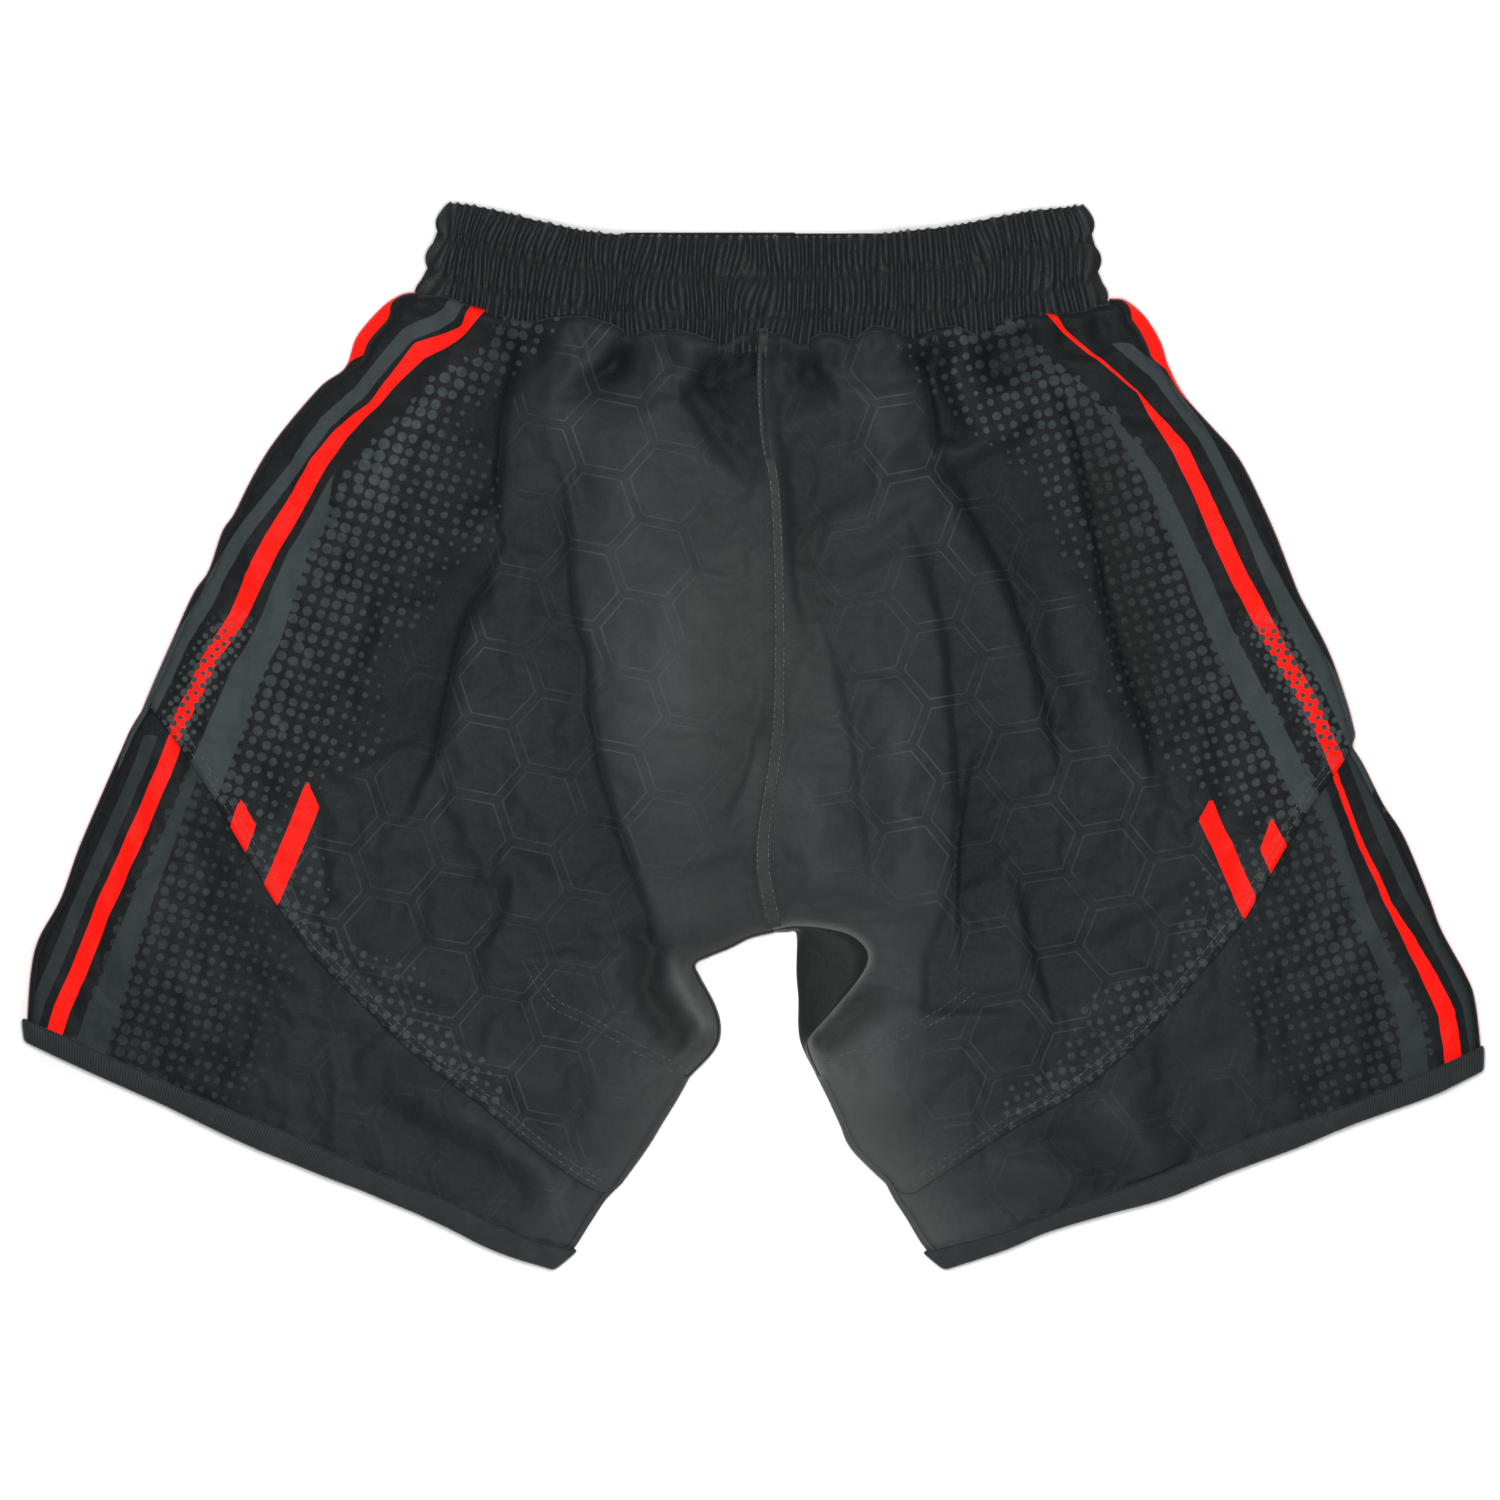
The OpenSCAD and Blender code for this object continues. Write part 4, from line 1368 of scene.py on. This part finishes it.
def tape(name, z0, material):
    """A flat strip of fastening tape with rounded corners."""
    (x0, x1), (y0, y1), r = TAPE_X, TAPE_Y, 2.5
    outline = []
    for cx, cy, start in ((x1 - r, y1 - r, 0), (x0 + r, y1 - r, 90), (x0 + r, y0 + r, 180),
                          (x1 - r, y0 + r, 270)):
        outline += [(cx + r * math.cos(math.radians(start + a)),
                     cy + r * math.sin(math.radians(start + a))) for a in (0, 30, 60, 90)]
    middle = ((x0 + x1) / 2, (y0 + y1) / 2)
    rings = []
    for up, k in ((0, 0.985), (0.3, 1.0), (0.7, 1.0), (1.0, 0.985)):
        z = z0 + up * TAPE_THICK
        rings.append([(middle[0] + (x - middle[0]) * k, middle[1] + (y - middle[1]) * k, z)
                      for x, y in outline])
    ribs = [x for ring in rings for x, _, _ in ring]
    return solid(name, rings, material, False, ribs)


def centre_z(xy):
    """Height of the back where the two sides meet."""
    left = back_height("left", xy)
    right = back_height("right", xy)
    return np.where(np.asarray(xy)[:, 0] < SEAM_X, left, right)


# The lap's section: how far across it, as a share of its half width, and how high.
LAP_ROUND = ((-1, -0.2), (-0.92, 0.75), (-0.55, 1.0), (0, 0.82), (0.55, 1.0), (0.92, 0.75),
             (1, -0.2), (0, -0.45))


def ridge_strip(name, path, width_of, z_of, lift, material):
    """A narrow lapped seam: a low strip with rounded edges that follows a path."""
    p = spread(curve(path, 1.0), 170)
    n = normals(p)
    rings = []
    centre = z_of(p)
    for i in range(len(p)):
        w = width_of(p[i][1]) / 2
        ring = []
        for a, h in LAP_ROUND:
            q = p[i] + n[i] * a * w
            ring.append((q[0], q[1], centre[i] + lift * h))
        rings.append(ring)
    return solid(name, rings, material)


def seam_width(y):
    return float(np.interp(y, [-100, 0, 60, 130, 205], [8.5, 6.5, 5.5, 5.0, 4.6]))


def on_lap(xy):
    """Height of the centre seam's flat top beside its middle line."""
    ys, xs = zip(*sorted((y, x) for x, y in CENTRE_SEAM))
    return centre_z(np.column_stack([np.interp(xy[:, 1], ys, xs), xy[:, 1]])) + 0.95


def build_centre():
    """The centre seams of the back and the front, the back's stitches and the fly's underlay."""
    back = ridge_strip("centre_back_lap", CENTRE_SEAM[:-1] + [(10, -98)],
                       seam_width, centre_z, 1.0, MATERIALS["seam"])
    rows = []
    for sign in (-1, 1):
        path = [(x + sign * (0.36 * seam_width(y)), y) for x, y in curve(CENTRE_SEAM, 3.0)[3:-2]]
        rows += stitch_row(path, on_lap, gap=0.5, radius=0.3)
    stitches = joined("centre_back_stitches", MATERIALS["thread"], rows)
    front = ridge_strip("centre_front_lap", [(SEAM_X, 97), (SEAM_X, 0), (SEAM_X, -96)],
                        lambda y: 10.0, lambda xy: np.full(len(xy), 1.75), 0.55,
                        MATERIALS["seam"])
    outline = np.array([(-11, 98), (27, 98), (27, 203), (-11, 203)], float)
    xy, faces = fill(outline, 5.0)
    z = 1.75 + 0.25 * fractal(xy, 30, 2, 9.0)
    fly = mesh_object("fly_underlay", np.column_stack([xy, z]), faces, MATERIALS["left_print"])
    stripe_fields(fly, "left", "upper", xy)
    apply_modifier(fly, "SOLIDIFY", thickness=CLOTH * MM, offset=0.0, use_rim=True)
    return back, stitches, front, fly


def build_band_stitches():
    """Two rows of stitches that hold the elastic, between the gathers."""
    n = 900
    top, low = band_points(n)
    u = np.linspace(0, 1, n)
    rows = []
    for v in BAND_ROWS:
        p = top * (1 - v) + low * v
        ripple, _ = band_ripple(u, np.full(n, v))
        z = arch(p[:, 0]) + 0.4 + ripple
        for i in range(45, n - 50, 7):
            rows.append(stitch((p[i][0], p[i][1], z[i]), (p[i + 5][0], p[i + 5][1], z[i + 5]),
                               0.2))
    return joined("waistband_stitches", MATERIALS["band"], rows)


# Flat sizes are in metres.
TAPE_FLAT = (0.076, 0.030)


def build_shorts():
    """The pieces that belong to the shorts' upper part and to the closure."""
    casing, elastic = build_casing(), build_elastic()
    band_rows = build_band_stitches()
    front_left, front_right, flap = build_front_band()
    hook = tape("hook_tape_strip", 1.45, MATERIALS["hook"])
    loop = tape("loop_tape_strip", 2.25, MATERIALS["loop"])
    for obj in (casing, elastic, band_rows, front_left, front_right, loop):
        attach(obj, "shorts")
    for obj in (flap, hook):
        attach(obj, "closure")
    sheet(["waistband_back_casing"])
    sheet(["waistband_elastic"])
    for obj, slot, flat, node in (
            (front_left, "waistband_fabric", (0.187, 0.055), "waistband_front_left"),
            (front_right, "waistband_fabric", (0.128, 0.055), "waistband_front_right"),
            (flap, "waistband_fabric", (0.106, 0.054), "closure_flap"),
            (hook, "hook_tape", TAPE_FLAT, "hook_strip"),
            (loop, "loop_tape", TAPE_FLAT, "loop_strip")):
        sheet([node])
    lap, rows, front_lap, fly = build_centre()
    for obj in (lap, rows, front_lap, fly):
        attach(obj, "shorts")
    sheet(["centre_back_seam"])
    sheet(["centre_front_seam"])
    sheet(["fly_placket"])


def halves(side, node):
    """The names of a panel's two CAD solids, above and below the fold line."""
    return [side + "_" + node, side + "_" + node + "_lower"]


def build_leg(side):
    """One side's cloth, and what rides with the leg."""
    leg = side + "_leg"
    upper, hem, face, face_hem = build_layers(side)
    side_cloth, gusset, inseam = build_edges(side)
    binding = build_binding(side)
    hem_rows, gusset_rows = build_seams(side, upper)
    for obj in (upper, hem, face, face_hem, side_cloth, inseam, hem_rows, gusset_rows):
        leg_blend(obj)
    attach(gusset, "shorts")
    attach(binding, leg)
    sheet(halves(side, "back_panel"))
    sheet(halves(side, "front_panel"))
    for obj, node in ((hem, "_back_hem_panel"), (face_hem, "_front_hem_panel")):
        sheet([side + node + "_top", side + node])
    sheet(halves(side, "side_panel"))
    sheet([side + "_gusset"])
    sheet([side + "_inseam"])
    sheet([side + "_hem_binding"])


# ---------------------------------------------------------------- studio
# Each area light: its name, place, size in metres and power in watts.
LIGHTS = (("overhead", (0.0, 0.03, 1.1), 0.3, 11.0),
          ("waist_left", (-0.8, 1.1, 0.8), 0.5, 3.5),
          ("waist_right", (0.8, 1.1, 0.8), 0.5, 3.5),
          ("hem_side", (0.15, -1.4, 0.5), 0.7, 8.0))
WORLD_LIGHT = 0.26
FLOOR_REACH = 8.0
CAMERA_PLACE = (-0.0020, -0.0077, 1.818)      # straight above, a little off the middle


def build_studio():
    mesh = bpy.data.meshes.new("floor")
    r = FLOOR_REACH
    mesh.from_pydata([(-r, -r, 0), (r, -r, 0), (r, r, 0), (-r, r, 0)], [], [(0, 1, 2, 3)])
    floor = bpy.data.objects.new("floor", mesh)
    bpy.context.scene.collection.objects.link(floor)
    mesh.materials.append(floor_material())
    world = bpy.data.worlds.new("studio")
    world.use_nodes = True
    world.node_tree.nodes["Background"].inputs["Color"].default_value = (1, 1, 1, 1)
    world.node_tree.nodes["Background"].inputs["Strength"].default_value = WORLD_LIGHT
    bpy.context.scene.world = world
    for name, place, size, power in LIGHTS:
        data = bpy.data.lights.new(name, "AREA")
        data.size = size
        data.energy = power
        light = bpy.data.objects.new(name, data)
        bpy.context.scene.collection.objects.link(light)
        light.location = place
        light.visible_camera = False
        light.rotation_euler = (Vector((0, 0, 0)) - Vector(place)).to_track_quat(
            "-Z", "Y").to_euler()


def build_camera():
    data = bpy.data.cameras.new("camera")
    data.lens = 85
    data.sensor_width = 36
    camera = bpy.data.objects.new("camera", data)
    bpy.context.scene.collection.objects.link(camera)
    camera.location = CAMERA_PLACE
    camera.rotation_euler = (0, 0, 0)
    bpy.context.scene.camera = camera
    bpy.context.scene.view_settings.view_transform = "Standard"


make_materials()
build_shorts()
for side in OUTLINES:
    build_leg(side)
build_studio()
build_camera()
